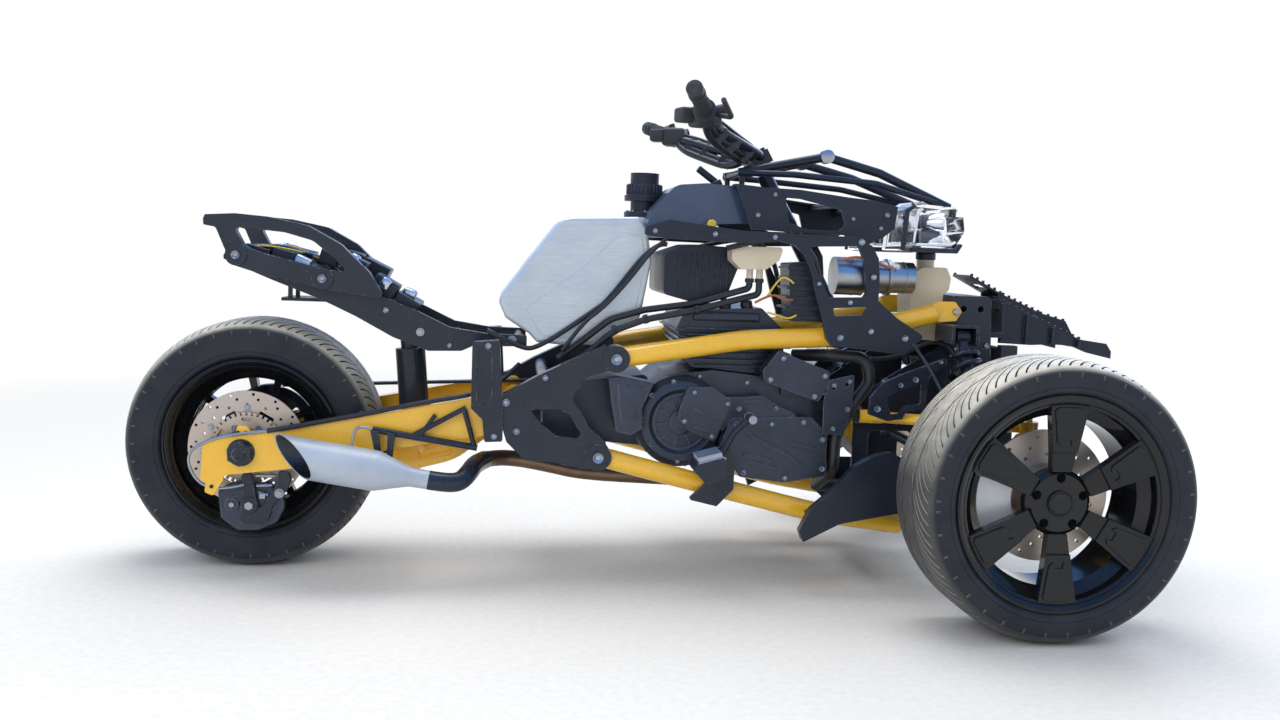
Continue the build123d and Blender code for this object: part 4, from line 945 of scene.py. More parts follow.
    def coil(self, start: Vector, end: Vector, radius: float, wire: float, turns: float,
             steps: int = 20) -> None:
        """Winds a spring of round wire.

        Args:
            start: Middle of the first turn.
            end: Middle of the last turn.
            radius: Radius of the coil at the wire's middle, in millimetres.
            wire: Radius of the wire, in millimetres.
            turns: Number of turns.
            steps: Steps of each turn.
        """
        axis = end - start
        place = self.frame(start, axis)
        first = place @ Matrix.Translation((radius / 1000.0, 0.0, 0.0)) @ Matrix.Rotation(pi / 2, 4, "X")
        made = bmesh.ops.create_circle(self.mesh, segments=10, radius=wire / 1000.0, matrix=first)["verts"]
        edges = list({e for v in made for e in v.link_edges})
        count = int(turns * steps)
        bmesh.ops.spin(self.mesh, geom=made + edges, cent=start, axis=axis.normalized(), dvec=axis / count,
                       angle=2 * pi * turns, steps=count)
        loose = [e for e in self.mesh.edges if len(e.link_faces) == 1]
        bmesh.ops.holes_fill(self.mesh, edges=loose, sides=0)

    def everything(self) -> list:
        """All vertices, edges and faces."""
        return [*self.mesh.verts, *self.mesh.edges, *self.mesh.faces]

    def mirrored(self) -> None:
        """Adds the mirror image on the other side of the vehicle."""
        bmesh.ops.mirror(self.mesh, geom=self.everything(), axis="Y", merge_dist=-1.0)

    def slashed(self, point: Vector, normal: Point) -> None:
        """Cuts a tube on a slant, drops the part behind the cut and closes the wall there.

        Args:
            point: Point on the cut, in metres.
            normal: Direction that the kept part lies in.
        """
        cut = bmesh.ops.bisect_plane(self.mesh, geom=self.everything(), plane_co=point, plane_no=normal,
                                     clear_inner=True)["geom_cut"]
        bmesh.ops.bridge_loops(self.mesh, edges=[e for e in cut if isinstance(e, bmesh.types.BMEdge)])

    def turned(self, before: set, centre: Vector, degrees: float) -> None:
        """Turns about the Y direction what was added to an earlier set of vertices.

        Args:
            before: The vertices that stay.
            centre: Point on the line that the others turn about, in metres.
            degrees: Angle.
        """
        turn = about("Y", degrees)
        for vert in self.mesh.verts:
            if vert not in before:
                vert.co = centre + turn @ (vert.co - centre)

    def done(self, finish: str, body: Body = Body.CHASSIS, smooth: float = 22.0) -> bpy.types.Object:
        """Turns the mesh into a piece of the vehicle.

        Args:
            finish: Name of the finish.
            body: Body that the piece rides on.
            smooth: Edges flatter than this angle, in degrees, are shaded smooth.

        Returns:
            The new object.
        """
        bmesh.ops.remove_doubles(self.mesh, verts=list(self.mesh.verts), dist=1e-6)
        bmesh.ops.recalc_face_normals(self.mesh, faces=list(self.mesh.faces))
        for face in self.mesh.faces:
            face.smooth = True
        for edge in self.mesh.edges:
            edge.smooth = len(edge.link_faces) == 2 and edge.calc_face_angle(4.0) < radians(smooth)
        data = bpy.data.meshes.new(self.name)
        self.mesh.to_mesh(data)
        self.mesh.free()
        log.info("%s: %d faces", self.name, len(data.polygons))
        return self.finishes.piece(self.name, data, finish, body)


@dataclass(frozen=True)
class Line:
    """Cable, hose or wire that is held along its way.

    Attributes:
        radius: Radius in millimetres.
        points: Control points in millimetres from the rear axle.
    """

    radius: float
    points: tuple[Point, ...]

    def add_to(self, curve: bpy.types.Curve) -> None:
        """Adds the line to a curve as one smooth spline.

        Args:
            curve: Curve whose bevel is one millimetre deep.
        """
        spline = curve.splines.new("NURBS")
        spline.points.add(len(self.points) - 1)
        for point, place in zip(spline.points, self.points):
            point.co = (*at(*place), 1.0)
            point.radius = self.radius
        spline.order_u = 3
        spline.use_endpoint_u = True
        spline.resolution_u = 6


@dataclass
class Assembly:
    """Group of pieces of the vehicle.

    Attributes:
        finishes: The vehicle's finishes.
    """

    finishes: Finishes

    def work(self, name: str) -> Work:
        """Empty mesh of a new piece."""
        return Work(name, self.finishes)

    def lines(self, name: str, finish: str, routes: Iterable[Line], body: Body = Body.CHASSIS,
              sides: int = 3) -> bpy.types.Object:
        """Makes one piece from several cables or hoses.

        Args:
            name: Name of the piece.
            finish: Name of the finish.
            routes: The lines.
            body: Body that the piece rides on.
            sides: Bevel resolution.

        Returns:
            The new object.
        """
        curve = bpy.data.curves.new(name, "CURVE")
        curve.dimensions = "3D"
        curve.bevel_depth = 0.001
        curve.bevel_resolution = sides
        curve.use_fill_caps = True
        for route in routes:
            route.add_to(curve)
        log.info("%s: %d lines", name, len(curve.splines))
        return self.finishes.piece(name, curve, finish, body)


# Tyres and wheels


@dataclass
class Tyre(Assembly):
    """Tyre with moulded grooves, side-wall ribs and a dusty tread that is paler on top with painted sunlight.

    Attributes:
        node: CAD node that it stands for.
        body: Body that it rides on.
        centre: Middle of the wheel, in millimetres from the rear axle.
        outer: Radius of the tread.
        flange: Radius of the rim's flange.
        half: Half the width.
        pitches: Number of tread blocks round the tyre.
        sweep: How far the grooves sweep round, in degrees, from the middle to the shoulder.
        depth: Depth of the grooves, in millimetres.
        parts: Columns of faces in a pitch.
        rib_every: Columns from one side-wall rib to the next.
    """

    node: str
    body: Body
    centre: Point
    outer: float
    flange: float
    half: float = 112.5
    pitches: int = 78
    sweep: float = 30.0
    depth: float = 4.0
    parts: int = 5
    rib_every: int = 11

    def outline(self) -> list[tuple[float, float]]:
        """Half of the section, from the tread to the bead.

        Returns:
            (radius, distance from the middle) of each corner, in millimetres.
        """
        outer, flange, half = self.outer, self.flange, self.half
        tread = [(outer, 6.0), (outer, 15.0), (outer, 20.0), (outer, 30.0), (outer, 34.0), (outer, 44.0),
                 (outer - 0.2, 54.0), (outer - 0.9, 62.0), (outer - 1.4, 66.0), (outer - 2.4, 74.0),
                 (outer - 4.4, 83.0), (outer - 7.2, 92.0), (outer - 10.4, 100.0), (outer - 13.6, 105.5)]
        wall = [(outer - 17.2, 108.4), (outer - 21.0, half - 2.0), (outer - 22.2, half - 2.4),
                (outer - 23.4, half - 1.5), (outer - 27.0, half - 1.0), (outer - 33.0, half - 0.9),
                (flange + 24.0, half - 1.1), (flange + 19.0, half - 1.6), (flange + 17.6, half - 2.8),
                (flange + 16.0, half - 1.6), (flange + 11.0, half - 2.6), (flange + 7.0, half - 5.2),
                (flange + 4.0, half - 10.0), (flange + 1.4, half - 14.0), (flange - 3.0, half - 15.4),
                (flange - 16.4, half - 15.6), (flange - 16.4, half - 29.0)]
        return tread + wall

    def build(self) -> None:
        """Makes the tyre."""
        work = self.work(self.node + "_dressed")
        mesh = work.mesh
        tread = mesh.verts.layers.float_color.new("tread")
        centre = at(*self.centre)
        half = self.outline()
        section = [(r, -y) for r, y in reversed(half)] + half
        columns = self.pitches * self.parts
        ring = work.lathe(section, centre, Vector((0, 1, 0)), columns)
        bmesh.ops.recalc_face_normals(mesh, faces=mesh.faces)
        step = 2 * pi / columns
        grooves = [f for f in mesh.faces if self._is_groove(*self._place(f, centre, step))]
        ribs = [f for f in mesh.faces if self._is_rib(*self._place(f, centre, step))]
        for vert in ring:
            offset = vert.co - centre
            radius = Vector((offset.x, offset.z)).length * 1000.0
            if radius > self.outer - 60:
                side = min(abs(offset.y) * 1000.0 / self.half, 1.0)
                turn = radians(self.sweep) * (1.0 - side) ** 1.6
                vert.co = centre + Matrix.Rotation(turn, 3, "Y") @ offset
            shade = min(max(1.0 - (self.outer - 12.0 - radius) / 12.0, 0.0), 1.0)
            vert[tread] = (shade, shade, shade, 1.0)
        bmesh.ops.inset_region(mesh, faces=grooves, thickness=0.0006, depth=-self.depth / 1000.0,
                               use_boundary=True)
        for vert in {v for f in grooves for v in f.verts}:
            vert[tread] = (0.0, 0.0, 0.0, 1.0)
        bmesh.ops.inset_region(mesh, faces=ribs, thickness=0.0004, depth=0.0008, use_boundary=True)
        for vert in {v for f in ribs for v in f.verts}:
            vert[tread] = (1.0, 1.0, 1.0, 1.0)
        piece = work.done("tyre_rubber", self.body, smooth=32.0)
        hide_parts(self.node)

    @staticmethod
    def _place(face: bmesh.types.BMFace, centre: Vector, step: float) -> tuple[int, float, float]:
        """Column, distance from the middle and radius of a face.

        Args:
            face: Face of the section's grid.
            centre: Middle of the wheel.
            step: Angle of one column.

        Returns:
            The column's number, and the distance and the radius in millimetres.
        """
        offset = face.calc_center_median() - centre
        flat = Vector((offset.x, offset.z))
        angle = flat.angle_signed(Vector((1.0, 0.0))) + 2 * pi
        return int(angle / step), abs(offset.y) * 1000.0, flat.length * 1000.0

    def _is_groove(self, column: int, side: float, radius: float) -> bool:
        """Whether a face of the grid lies in a groove.

        Args:
            column: Its column round the tyre.
            side: Its distance from the middle, in millimetres.
            radius: Its distance from the axle, in millimetres.

        Returns:
            True where the tread is cut.
        """
        if radius < self.outer - 9.0 or side < 12.0:
            return False
        pitch, part = divmod(column, self.parts)
        return 30.0 < side < 34.0 or (part == 0 and side > (42.0 if pitch % 2 else 15.0))

    def _is_rib(self, column: int, side: float, radius: float) -> bool:
        """Whether a face of the grid carries a raised side-wall bar."""
        return self.outer - 33.0 < radius < self.outer - 23.0 and column % self.rib_every == 0 and side > 90.0


@dataclass
class FrontWheelTrim(Assembly):
    """Lug bolts and the plain cap's ring on a front wheel.

    Attributes:
        side: Side of the vehicle.
        circle: Radius of the bolt circle, in millimetres.
        hub_y: Distance of the hub's face from the centre plane.
        rake: How far the spokes lean out, over their length.
    """

    side: Side
    circle: float = 54.0
    hub_y: float = 660.0
    rake: float = 0.09

    def build(self) -> None:
        """Makes the bolts, the cap and its ring."""
        sign = self.side.value
        body = Body[f"WHEEL_{self.side.name}"]
        out = Vector((0, sign, 0))
        work = self.work(f"lug_bolts_{self.side.label}")
        centre = at(FRONT_X, sign * (self.hub_y - 18), FRONT_R)
        work.ring_of_bolts(centre, out, self.circle, 5, 8.4, 14, start=-90 if sign < 0 else 90, head=Head.HEX)
        work.done("steel", body)
        cap = self.work(f"wheel_cap_{self.side.label}")
        face = at(FRONT_X, sign * (self.hub_y + 5), FRONT_R)
        cap.lathe([(0, 2.6), (14, 2.4), (22, 1.6), (23.2, 0.4), (24.6, 0.4), (26, 2.4), (27.6, 2.2),
                   (28.4, 0.2), (28.4, -4.5), (20, -4.5), (0, -4.5)], face, out, 48)
        cap.done("gloss_black", body)
        self._pads(body, sign)

    def _pads(self, body: Body, sign: int) -> None:
        """Adds the raised, notched step on the outer half of each spoke.

        Args:
            body: Wheel that the steps ride on.
            sign: Sign of the wheel's side.
        """
        work = self.work(f"spoke_steps_{body.value}")
        centre = at(FRONT_X, sign * FRONT_Y, FRONT_R)
        outline = [(-21, 132), (-33, 200), (-24, 207), (24, 207), (33, 200), (21, 132), (11, 124), (9, 137),
                   (-9, 137), (-11, 124)]
        for i in range(6):
            before = set(work.mesh.verts)
            work.plate([(FRONT_X + w, FRONT_R + r) for w, r in outline], sign * 669, sign * 674, rim=1.4)
            for vert in set(work.mesh.verts) - before:
                vert.co.y += sign * (vert.co.z - centre.z - 0.124) * self.rake
            work.turned(before, centre, 60 * i)
        work.done("gloss_black", body, smooth=12)


# Sub-assemblies of the chassis


@dataclass(frozen=True)
class Bolt:
    """Fastener at the right side, in millimetres from the rear axle.

    Attributes:
        x: Place along the vehicle.
        y: Seat's distance from the centre plane, negative at the right.
        z: Height.
        radius: Half the width of the head.
        height: How far the head stands out.
        head: Kind of head.
    """

    x: float
    y: float
    z: float
    radius: float = 7.0
    height: float = 6.0
    head: Head = Head.SOCKET


@dataclass
class Fasteners(Assembly):
    """Heads that point outwards on both sides of the vehicle.

    Attributes:
        name: Name of the piece.
        rows: Fields of the heads at the right.
        both: Whether the left side has them too.
    """

    name: str
    rows: Sequence[tuple]
    both: bool = True

    def build(self) -> None:
        """Makes the heads."""
        work = self.work(self.name)
        for row in self.rows:
            bolt = Bolt(*row)
            work.bolt(at(bolt.x, bolt.y, bolt.z), RIGHTWARD, bolt.radius, bolt.height, bolt.head)
        if self.both:
            work.mirrored()
        work.done("steel")


# rows of each table are the fields of Bolt
BOLT_TABLES: dict[str, tuple[tuple, ...]] = {
    "frame_bolts": (
        (866, -254, 548, 13, 8), (830, -254, 313, 13, 8), (610, -250, 440, 9, 6), (700, -250, 500, 7, 5),
        (636, -250, 372, 8, 6), (566, -258, 572, 7, 4), (584, -258, 360, 7, 4),
        (1702, -213, 684, 9, 7, Head.HEX), (1480, -178, 250, 8, 6, Head.FLANGE),
        (1480, -178, 430, 8, 6, Head.FLANGE), (1650, -178, 520, 7, 5, Head.FLANGE),
        (1640, -178, 220, 8, 6, Head.FLANGE), (1800, -178, 600, 7, 5), (1830, -178, 420, 7, 5),
        (1830, -178, 260, 7, 5), (1722, -178, 590, 6, 4),
    ),
    "rail_bolts": (
        (-23, -170, 761, 10, 7), (174, -170, 712, 10, 7), (60, -130, 722, 6, 4), (318, -130, 640, 7, 4),
        (400, -130, 590, 7, 5, Head.FLANGE), (470, -130, 560, 6, 4), (620, -130, 576, 8, 5, Head.FLANGE),
    ),
    "carrier_bolts": (
        (945, -260, 852, 6, 4), (1087, -260, 850, 6, 4), (1230, -260, 848, 6, 4), (1440, -260, 844, 8, 5),
        (1474, -260, 762, 7, 5), (1420, -260, 700, 6, 4), (1400, -260, 615, 8, 5), (1560, -260, 618, 8, 5),
        (1475, -260, 632, 7, 4), (1342, -260, 742, 5, 4), (1512, -219, 912, 6, 5), (1196, -215, 900, 6, 4),
        (1236, -215, 950, 5, 4), (1500, -215, 880, 5, 4), (1430, -215, 900, 5, 4),
    ),
    "brace_bolts": (
        (1580, -296, 522, 7, 5), (1544, -296, 508, 6, 5), (1490, -296, 450, 8, 5), (1640, -296, 566, 5, 4),
    ),
    "engine_bolts": (
        (1171, -216, 433), (1126, -216, 448, 6), (1262, -216, 436, 6), (1300, -216, 414, 6),
        (1330, -223, 404), (1379, -223, 362), (1382, -223, 290), (1290, -223, 266), (1188, -223, 278),
        (1139, -223, 334), (1164, -223, 396), (1252, -223, 398, 6), (1058, -230, 472, 6),
        (1140, -230, 446, 6), (1104, -230, 366, 6), (1036, -230, 402, 6), (1026, -208, 300, 6),
        (962, -206, 340, 6), (940, -206, 400, 6), (958, -206, 460, 6), (1010, -206, 494, 6),
        (1092, -206, 312, 6), (1270, -236, 560, 7), (1374, -236, 520, 7), (1240, -236, 508, 7),
        (1350, -236, 470, 7), (1398, -236, 498, 6), (1436, -236, 508, 6), (1400, -236, 392, 6),
        (1434, -236, 440, 6), (1197, -172, 492, 6), (1079, -172, 505, 6),
    ),
}


@dataclass
class GearCover(Assembly):
    """Hexagonal cover beside the clutch (its two bolts are not made here), and raised ribs on the engine's
    right side.

    Attributes:
        seat_y: The crankcase's side.
        face_y: Outer face of the cover.
    """

    seat_y: float = -171.0
    face_y: float = -238.0

    def build(self) -> None:
        """Makes the cover, the ribs and the cover lines."""
        cover = self.work("gear_cover")
        cover.plate([(850, 502), (872, 507), (960, 492), (934, 430), (937, 380), (910, 366), (872, 372),
                     (858, 440)], self.seat_y, self.face_y, rim=4)
        cover.plate([(872, 488), (940, 478), (916, 428), (920, 394), (884, 394), (876, 440)], self.face_y + 1,
                    self.face_y - 4, rim=2.5)
        cover.done("engine_metal")
        ribs = self.work("engine_ribs")
        self._clutch(ribs)
        # outline of each raised rib, and the plane that it stands on
        rows = [
            ([(1152, 404), (1208, 358), (1287, 322), (1336, 286), (1344, 292), (1292, 330), (1213, 366),
              (1158, 412)], -223),
            ([(1128, 332), (1182, 270), (1190, 276), (1136, 342)], -223),
            ([(1346, 410), (1386, 374), (1390, 380), (1350, 416)], -223),
            ([(1196, 300), (1270, 284), (1272, 292), (1198, 308)], -223),
            ([(1186, 318), (1262, 302), (1264, 310), (1188, 326)], -223),
            ([(1300, 346), (1372, 330), (1372, 338), (1302, 354)], -223),
            ([(1056, 430), (1104, 403), (1107, 409), (1060, 437)], -230),
            ([(1060, 386), (1091, 371), (1094, 377), (1063, 393)], -230),
            ([(1180, 452), (1224, 456), (1270, 432), (1268, 426), (1222, 449), (1180, 445)], -216),
        ]
        for outline, seat in rows:
            ribs.plate(outline, seat + 1, seat - 4, rim=1.5)
        ribs.done("engine_metal")
        self._fins()

    @staticmethod
    def _clutch(work: Work) -> None:
        """Adds the clutch cover's raised rings and its ring of ribs.

        Args:
            work: Piece that they are added to.
        """
        x, z = 1032, 396
        centre = at(x, -206, z)
        work.lathe([(70, -2), (70, 3), (66, 4), (62, 3), (62, -2)], centre, RIGHTWARD, 64)
        work.lathe([(30, -2), (30, 5), (27, 6.5), (10, 7.5), (0, 7.5)], centre, RIGHTWARD, 48)
        for i in range(10):
            before = set(work.mesh.verts)
            work.plate([(x - 3, z + 32), (x + 3, z + 32), (x + 2.4, z + 61), (x - 2.4, z + 61)], -205, -209.5,
                       rim=1.0)
            work.turned(before, centre, 36 * i + 12)

    def _fins(self) -> None:
        """Makes the cylinder block's side fins, the head's cover and the plug leads' caps."""
        work = self.work("block_fins")
        for i in range(7):
            z = 528 + 15 * i
            work.block((1068 - 5 * i, -164, z), (1284, -149, z + 4.5), rim=1.4)
        work.block((1060, -160, 640), (1226, -149, 662), rim=5)
        work.mirrored()
        work.done("engine_metal")
        caps = self.work("plug_caps")
        for x in (1090, 1145, 1200):
            caps.cylinder(at(x, -128, 662), at(x - 6, -128, 690), 15, rim=3)
            caps.cylinder(at(x - 6, -128, 688), at(x - 9, -128, 702), 8, rim=2)
        caps.done("hose_rubber")


@dataclass
class CoilOver(Assembly):
    """Damper with a coil spring, on both sides.

    Attributes:
        top: Upper eye at the right, in millimetres.
        foot: Lower eye.
        turns: Turns of the spring.
    """

    top: Point = (1702.0, -262.0, 626.0)
    foot: Point = (1744.0, -392.0, 242.0)
    turns: float = 7.5

    def build(self) -> None:
        """Makes the damper and its spring."""
        top, foot = at(*self.top), at(*self.foot)
        along = (foot - top).normalized() / 1000.0
        length = (foot - top).length * 1000.0
        damper = self.work("front_dampers")
        damper.cylinder(top + along * 14, top + along * 150, 15, 32, rim=1)
        damper.cylinder(top + along * 140, top + along * (length - 14), 23, 32, rim=2)
        damper.lathe([(0, 40), (34, 40), (37.5, 43), (37.5, 49), (30, 53), (0, 53)], top, along, 40)
        damper.lathe([(0, length - 96), (30, length - 96), (38, length - 91), (38, length - 84),
                      (27, length - 80), (27, length - 60), (0, length - 60)], top, along, 40)
        for i in range(6):
            damper.lathe([(0, length - 78 + 3.6 * i), (28.5, length - 78 + 3.6 * i),
                          (28.5, length - 76.4 + 3.6 * i), (0, length - 76.4 + 3.6 * i)], top, along, 32)
        for point in (top, foot):
            damper.cylinder(point - Vector((0.016, 0, 0)), point + Vector((0.016, 0, 0)), 17, 32, rim=2)
        damper.mirrored()
        piece = damper.done("black_paint")
        spring = self.work("front_springs")
        spring.coil(top + along * 59, top + along * (length - 102), 31.5, 6.4, self.turns, 28)
        spring.mirrored()
        coils = spring.done("black_paint", smooth=60)
        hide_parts("front_shocks")
        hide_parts("front_shocks")


@dataclass
class Lamps(Assembly):
    """Reflectors, housings and rims of the twin headlights.

    Attributes:
        middle_y: Middle of each lamp's width, at the right.
    """

    middle_y: float = -158.0

    def build(self) -> None:
        """Makes the inside of the lamps and their black surrounds."""
        bowls = self.work("lamp_reflectors")
        for y_off, z, radius in ((-36, 898, 26), (-36, 858, 15), (34, 898, 26), (34, 858, 15), (0, 878, 20)):
            origin = at(1612, self.middle_y + y_off, z)
            bowls.lathe([(0, 0), (radius * 0.5, 6), (radius * 0.82, 22), (radius, 44), (radius + 1.5, 44),
                         (radius * 0.86, 21), (radius * 0.5, 3), (0, -3)], origin, FORWARD, 32)
            bowls.cylinder(origin, origin + Vector((0.03, 0, 0)), 5, 20, rim=1)
        bowls.plate([(1576, 846), (1584, 926), (1596, 934), (1602, 930), (1592, 920), (1584, 848)], -226, -90,
                    rim=2)
        bowls.plate([(1584, 842), (1590, 848), (1672, 848), (1684, 856), (1688, 852), (1674, 842)], -224, -92,
                    rim=1)
        bowls.mirrored()
        bowls.done("chrome")
        cells = self.work("lamp_projectors")
        for y, z in ((-190, 901), (-126, 901), (-190, 864), (-126, 864)):
            cells.cylinder(at(1606, y, z), at(1650, y, z), 17, 32, rim=2)
        cells.mirrored()
        cells.done("cover_blue_black")
        shell = self.work("lamp_surrounds")
        shell.plate([(1544, 829), (1550, 927), (1572, 940), (1580, 934), (1562, 922), (1556, 829)], -241,
                    -234, rim=2)
        shell.plate([(1566, 826), (1568, 837), (1682, 837), (1694, 850), (1700, 846), (1688, 826)], -238, -80,
                    rim=2)
        shell.mirrored()
        shell.done("plastic_black")


@dataclass
class RearWheelTrim(Assembly):
    """Stepped rings of the deep dish, hub bolts and the toothed ring's bolts."""

    def build(self) -> None:
        """Makes the rings and the bolts."""
        rings = self.work("dish_rings")
        for y in (-50, -20, 14):
            rings.lathe([(161, 0), (158, 1), (158, 5), (161, 6)], at(0, y, REAR_R), RIGHTWARD, 96)
        rings.lathe([(206, 0), (208.4, 1.5), (208.4, 4.5), (204, 6), (203, 0)], at(0, -102, REAR_R),
                    RIGHTWARD, 96)
        rings.done("gloss_black", Body.REAR_WHEEL)
        bolts = self.work("rear_disc_bolts")
        bolts.ring_of_bolts(at(0, -153, REAR_R), RIGHTWARD, 56, 6, 6.5, 6, head=Head.SOCKET)
        bolts.ring_of_bolts(at(0, -145, REAR_R), RIGHTWARD, 97, 6, 6, 4, start=30, head=Head.FLANGE)
        bolts.done("steel", Body.REAR_WHEEL)


@dataclass
class Muffler(Assembly):
    """Slanted silencer with a slash-cut mouth, its neck, elbow and pipe.

    Attributes:
        rear: Point on the can's axis near its mouth, in millimetres.
        neck: Point on the axis where the neck ends.
        radius: Outer radius of the can.
        wall: Thickness of the can.
        slant: Direction that the mouth's cut faces.
    """

    rear: Point = (100.0, -278.0, 313.0)
    neck: Point = (446.0, -278.0, 257.0)
    radius: float = 47.0
    wall: float = 3.0
    slant: Point = (1.0, 0.787, 0.532)

    def build(self) -> None:
        """Makes the can, the pipe and the hangers."""
        origin, end = at(*self.rear), at(*self.neck)
        axis = end - origin
        reach, inner = axis.length * 1000.0, self.radius - self.wall
        can = self.work("muffler_can")
        can.lathe([(self.radius, -40), (self.radius, 214), (self.radius - 1, 222), (27, 284), (22.5, 300),
                   (21.5, reach), (18, reach), (19, 298), (24, 280), (inner - 2, 222), (inner, 212),
                   (inner, -40)], origin, axis, 72)
        can.slashed(at(130, -278, 308), self.slant)
        piece = can.done("silencer_paint", smooth=30)
        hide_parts("muffler")
        elbow = self.lines("muffler_elbow", "black_paint", [Line(22.5, (
            (436, -278, 258.6), (470, -278, 253), (508, -270, 252), (528, -240, 270), (540, -190, 282),
            (560, -140, 282)))], sides=8)
        pipe = self.lines("exhaust_pipe", "heated_steel", [Line(20.0, (
            (552, -146, 282), (580, -96, 280), (634, -66, 275), (719, -60, 259), (805, -60, 240),
            (1000, -60, 232), (1150, -60, 225)))], sides=8)
        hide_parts("muffler")
        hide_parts("muffler")
        # Black sleeve and end disc inside the can's mouth: painted shade that makes the bore look deep and
        # dark; the hangers are on the same piece.
        bore_shade_and_hangers = self.work("muffler_bore_shade_and_hangers")
        bore_shade_and_hangers.lathe([(inner - 0.3, -40), (inner - 0.3, 190), (0, 190), (0, 186), (inner - 1.5, 186),
                     (inner - 1.5, -40)], origin, axis, 72)
        bore_shade_and_hangers.slashed(at(130.5, -278, 308), self.slant)
        hangers = [[(298, 366), (318, 364), (324, 318), (308, 318)],
                   [(338, 362), (356, 359), (350, 300), (336, 300)]]
        for outline in hangers:
            bore_shade_and_hangers.plate(outline, -238, -243, rim=1)
        bore_shade_and_hangers.done("black_paint")
        self.lines("hanger_rod", "steel", [Line(3.4, (
            (300, -236, 368), (284, -238, 374), (268, -240, 372), (259, -242, 356), (256, -246, 326)))])


@dataclass
class RearBrake(Assembly):
    """Rear caliper on its forked bracket, the axle nut, and black socket discs on the ears that paint the
    shade of their holes.
    """

    # (x, z) corners at the right, in millimetres from the rear axle
    FORK = ((1, 252), (20, 254), (26, 238), (31, 208), (38, 172), (46, 176), (60, 196), (76, 222), (83, 258),
            (107, 256), (113, 241), (104, 212), (74, 180), (60, 140), (52, 134), (6, 133), (-4, 142),
            (-1, 176), (0, 212))
    CALIPER = ((-58, 206), (-30, 226), (58, 226), (92, 200), (96, 168), (78, 132), (34, 112), (-14, 112),
               (-52, 142))

    def build(self) -> None:
        """Makes the bracket, the caliper and the nut."""
        fork = self.work("rear_caliper_fork")
        fork.plate(self.FORK, -186, -202, rim=3)
        fork.cylinder(at(18, -200, 177), at(18, -208, 177), 20, 40, rim=2)
        piece = fork.done("black_paint")
        body = self.work("rear_caliper_body")
        body.plate(self.CALIPER, -163, -187, rim=5)
        body.plate([(8, 204), (40, 212), (70, 200), (72, 166), (46, 142), (12, 150)], -180, -192, rim=3)
        body.cylinder(at(-24, -180, 176), at(-24, -194, 176), 17, 40, rim=2)
        caliper = body.done("engine_metal")
        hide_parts("rear_caliper")
        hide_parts("rear_caliper")
        pins = self.work("rear_caliper_pins")
        for (x1, z1), (x2, z2) in (((30, 246), (76, 246)), ((32, 222), (69, 224)), ((38, 206), (60, 200))):
            pins.cylinder(at(x1, -194, z1), at(x2, -194, z2), 4.6, 24, rim=1)
        pins.block((40, -203, 192), (54, -190, 206), rim=1.5)
        pins.bolt(at(18, -208, 177), RIGHTWARD, 11, 5, Head.HEX)
        pins.bolt(at(86, -202, 206), RIGHTWARD, 8, 5, Head.FLANGE)
        pins.bolt(at(-24, -194, 176), RIGHTWARD, 7, 5, Head.HEX)
        pins.done("steel")
        nut = self.work("axle_nut")
        nut.cylinder(at(0, -209, REAR_R), at(0, -214, REAR_R), 32, 64, rim=1.5)
        nut.cylinder(at(0, -212, REAR_R), at(0, -237, REAR_R), 29.5, 6, rim=2.5)
        nut.lathe([(9, -1), (9, 3), (14, 3), (16, -1)], at(0, -237, REAR_R), RIGHTWARD, 48)
        nut.mirrored()
        nut.done("black_paint")
        # Black socket discs on the ears: painted shade standing for the ears' holes.
        ears = self.work("ear_hole_shade_discs")
        for x, z in ((-7, 350), (11, 350), (-66, 222)):
            ears.bolt(at(x, -210, z), RIGHTWARD, 4.6, 2.5, Head.SOCKET)
        ears.done("black_paint")


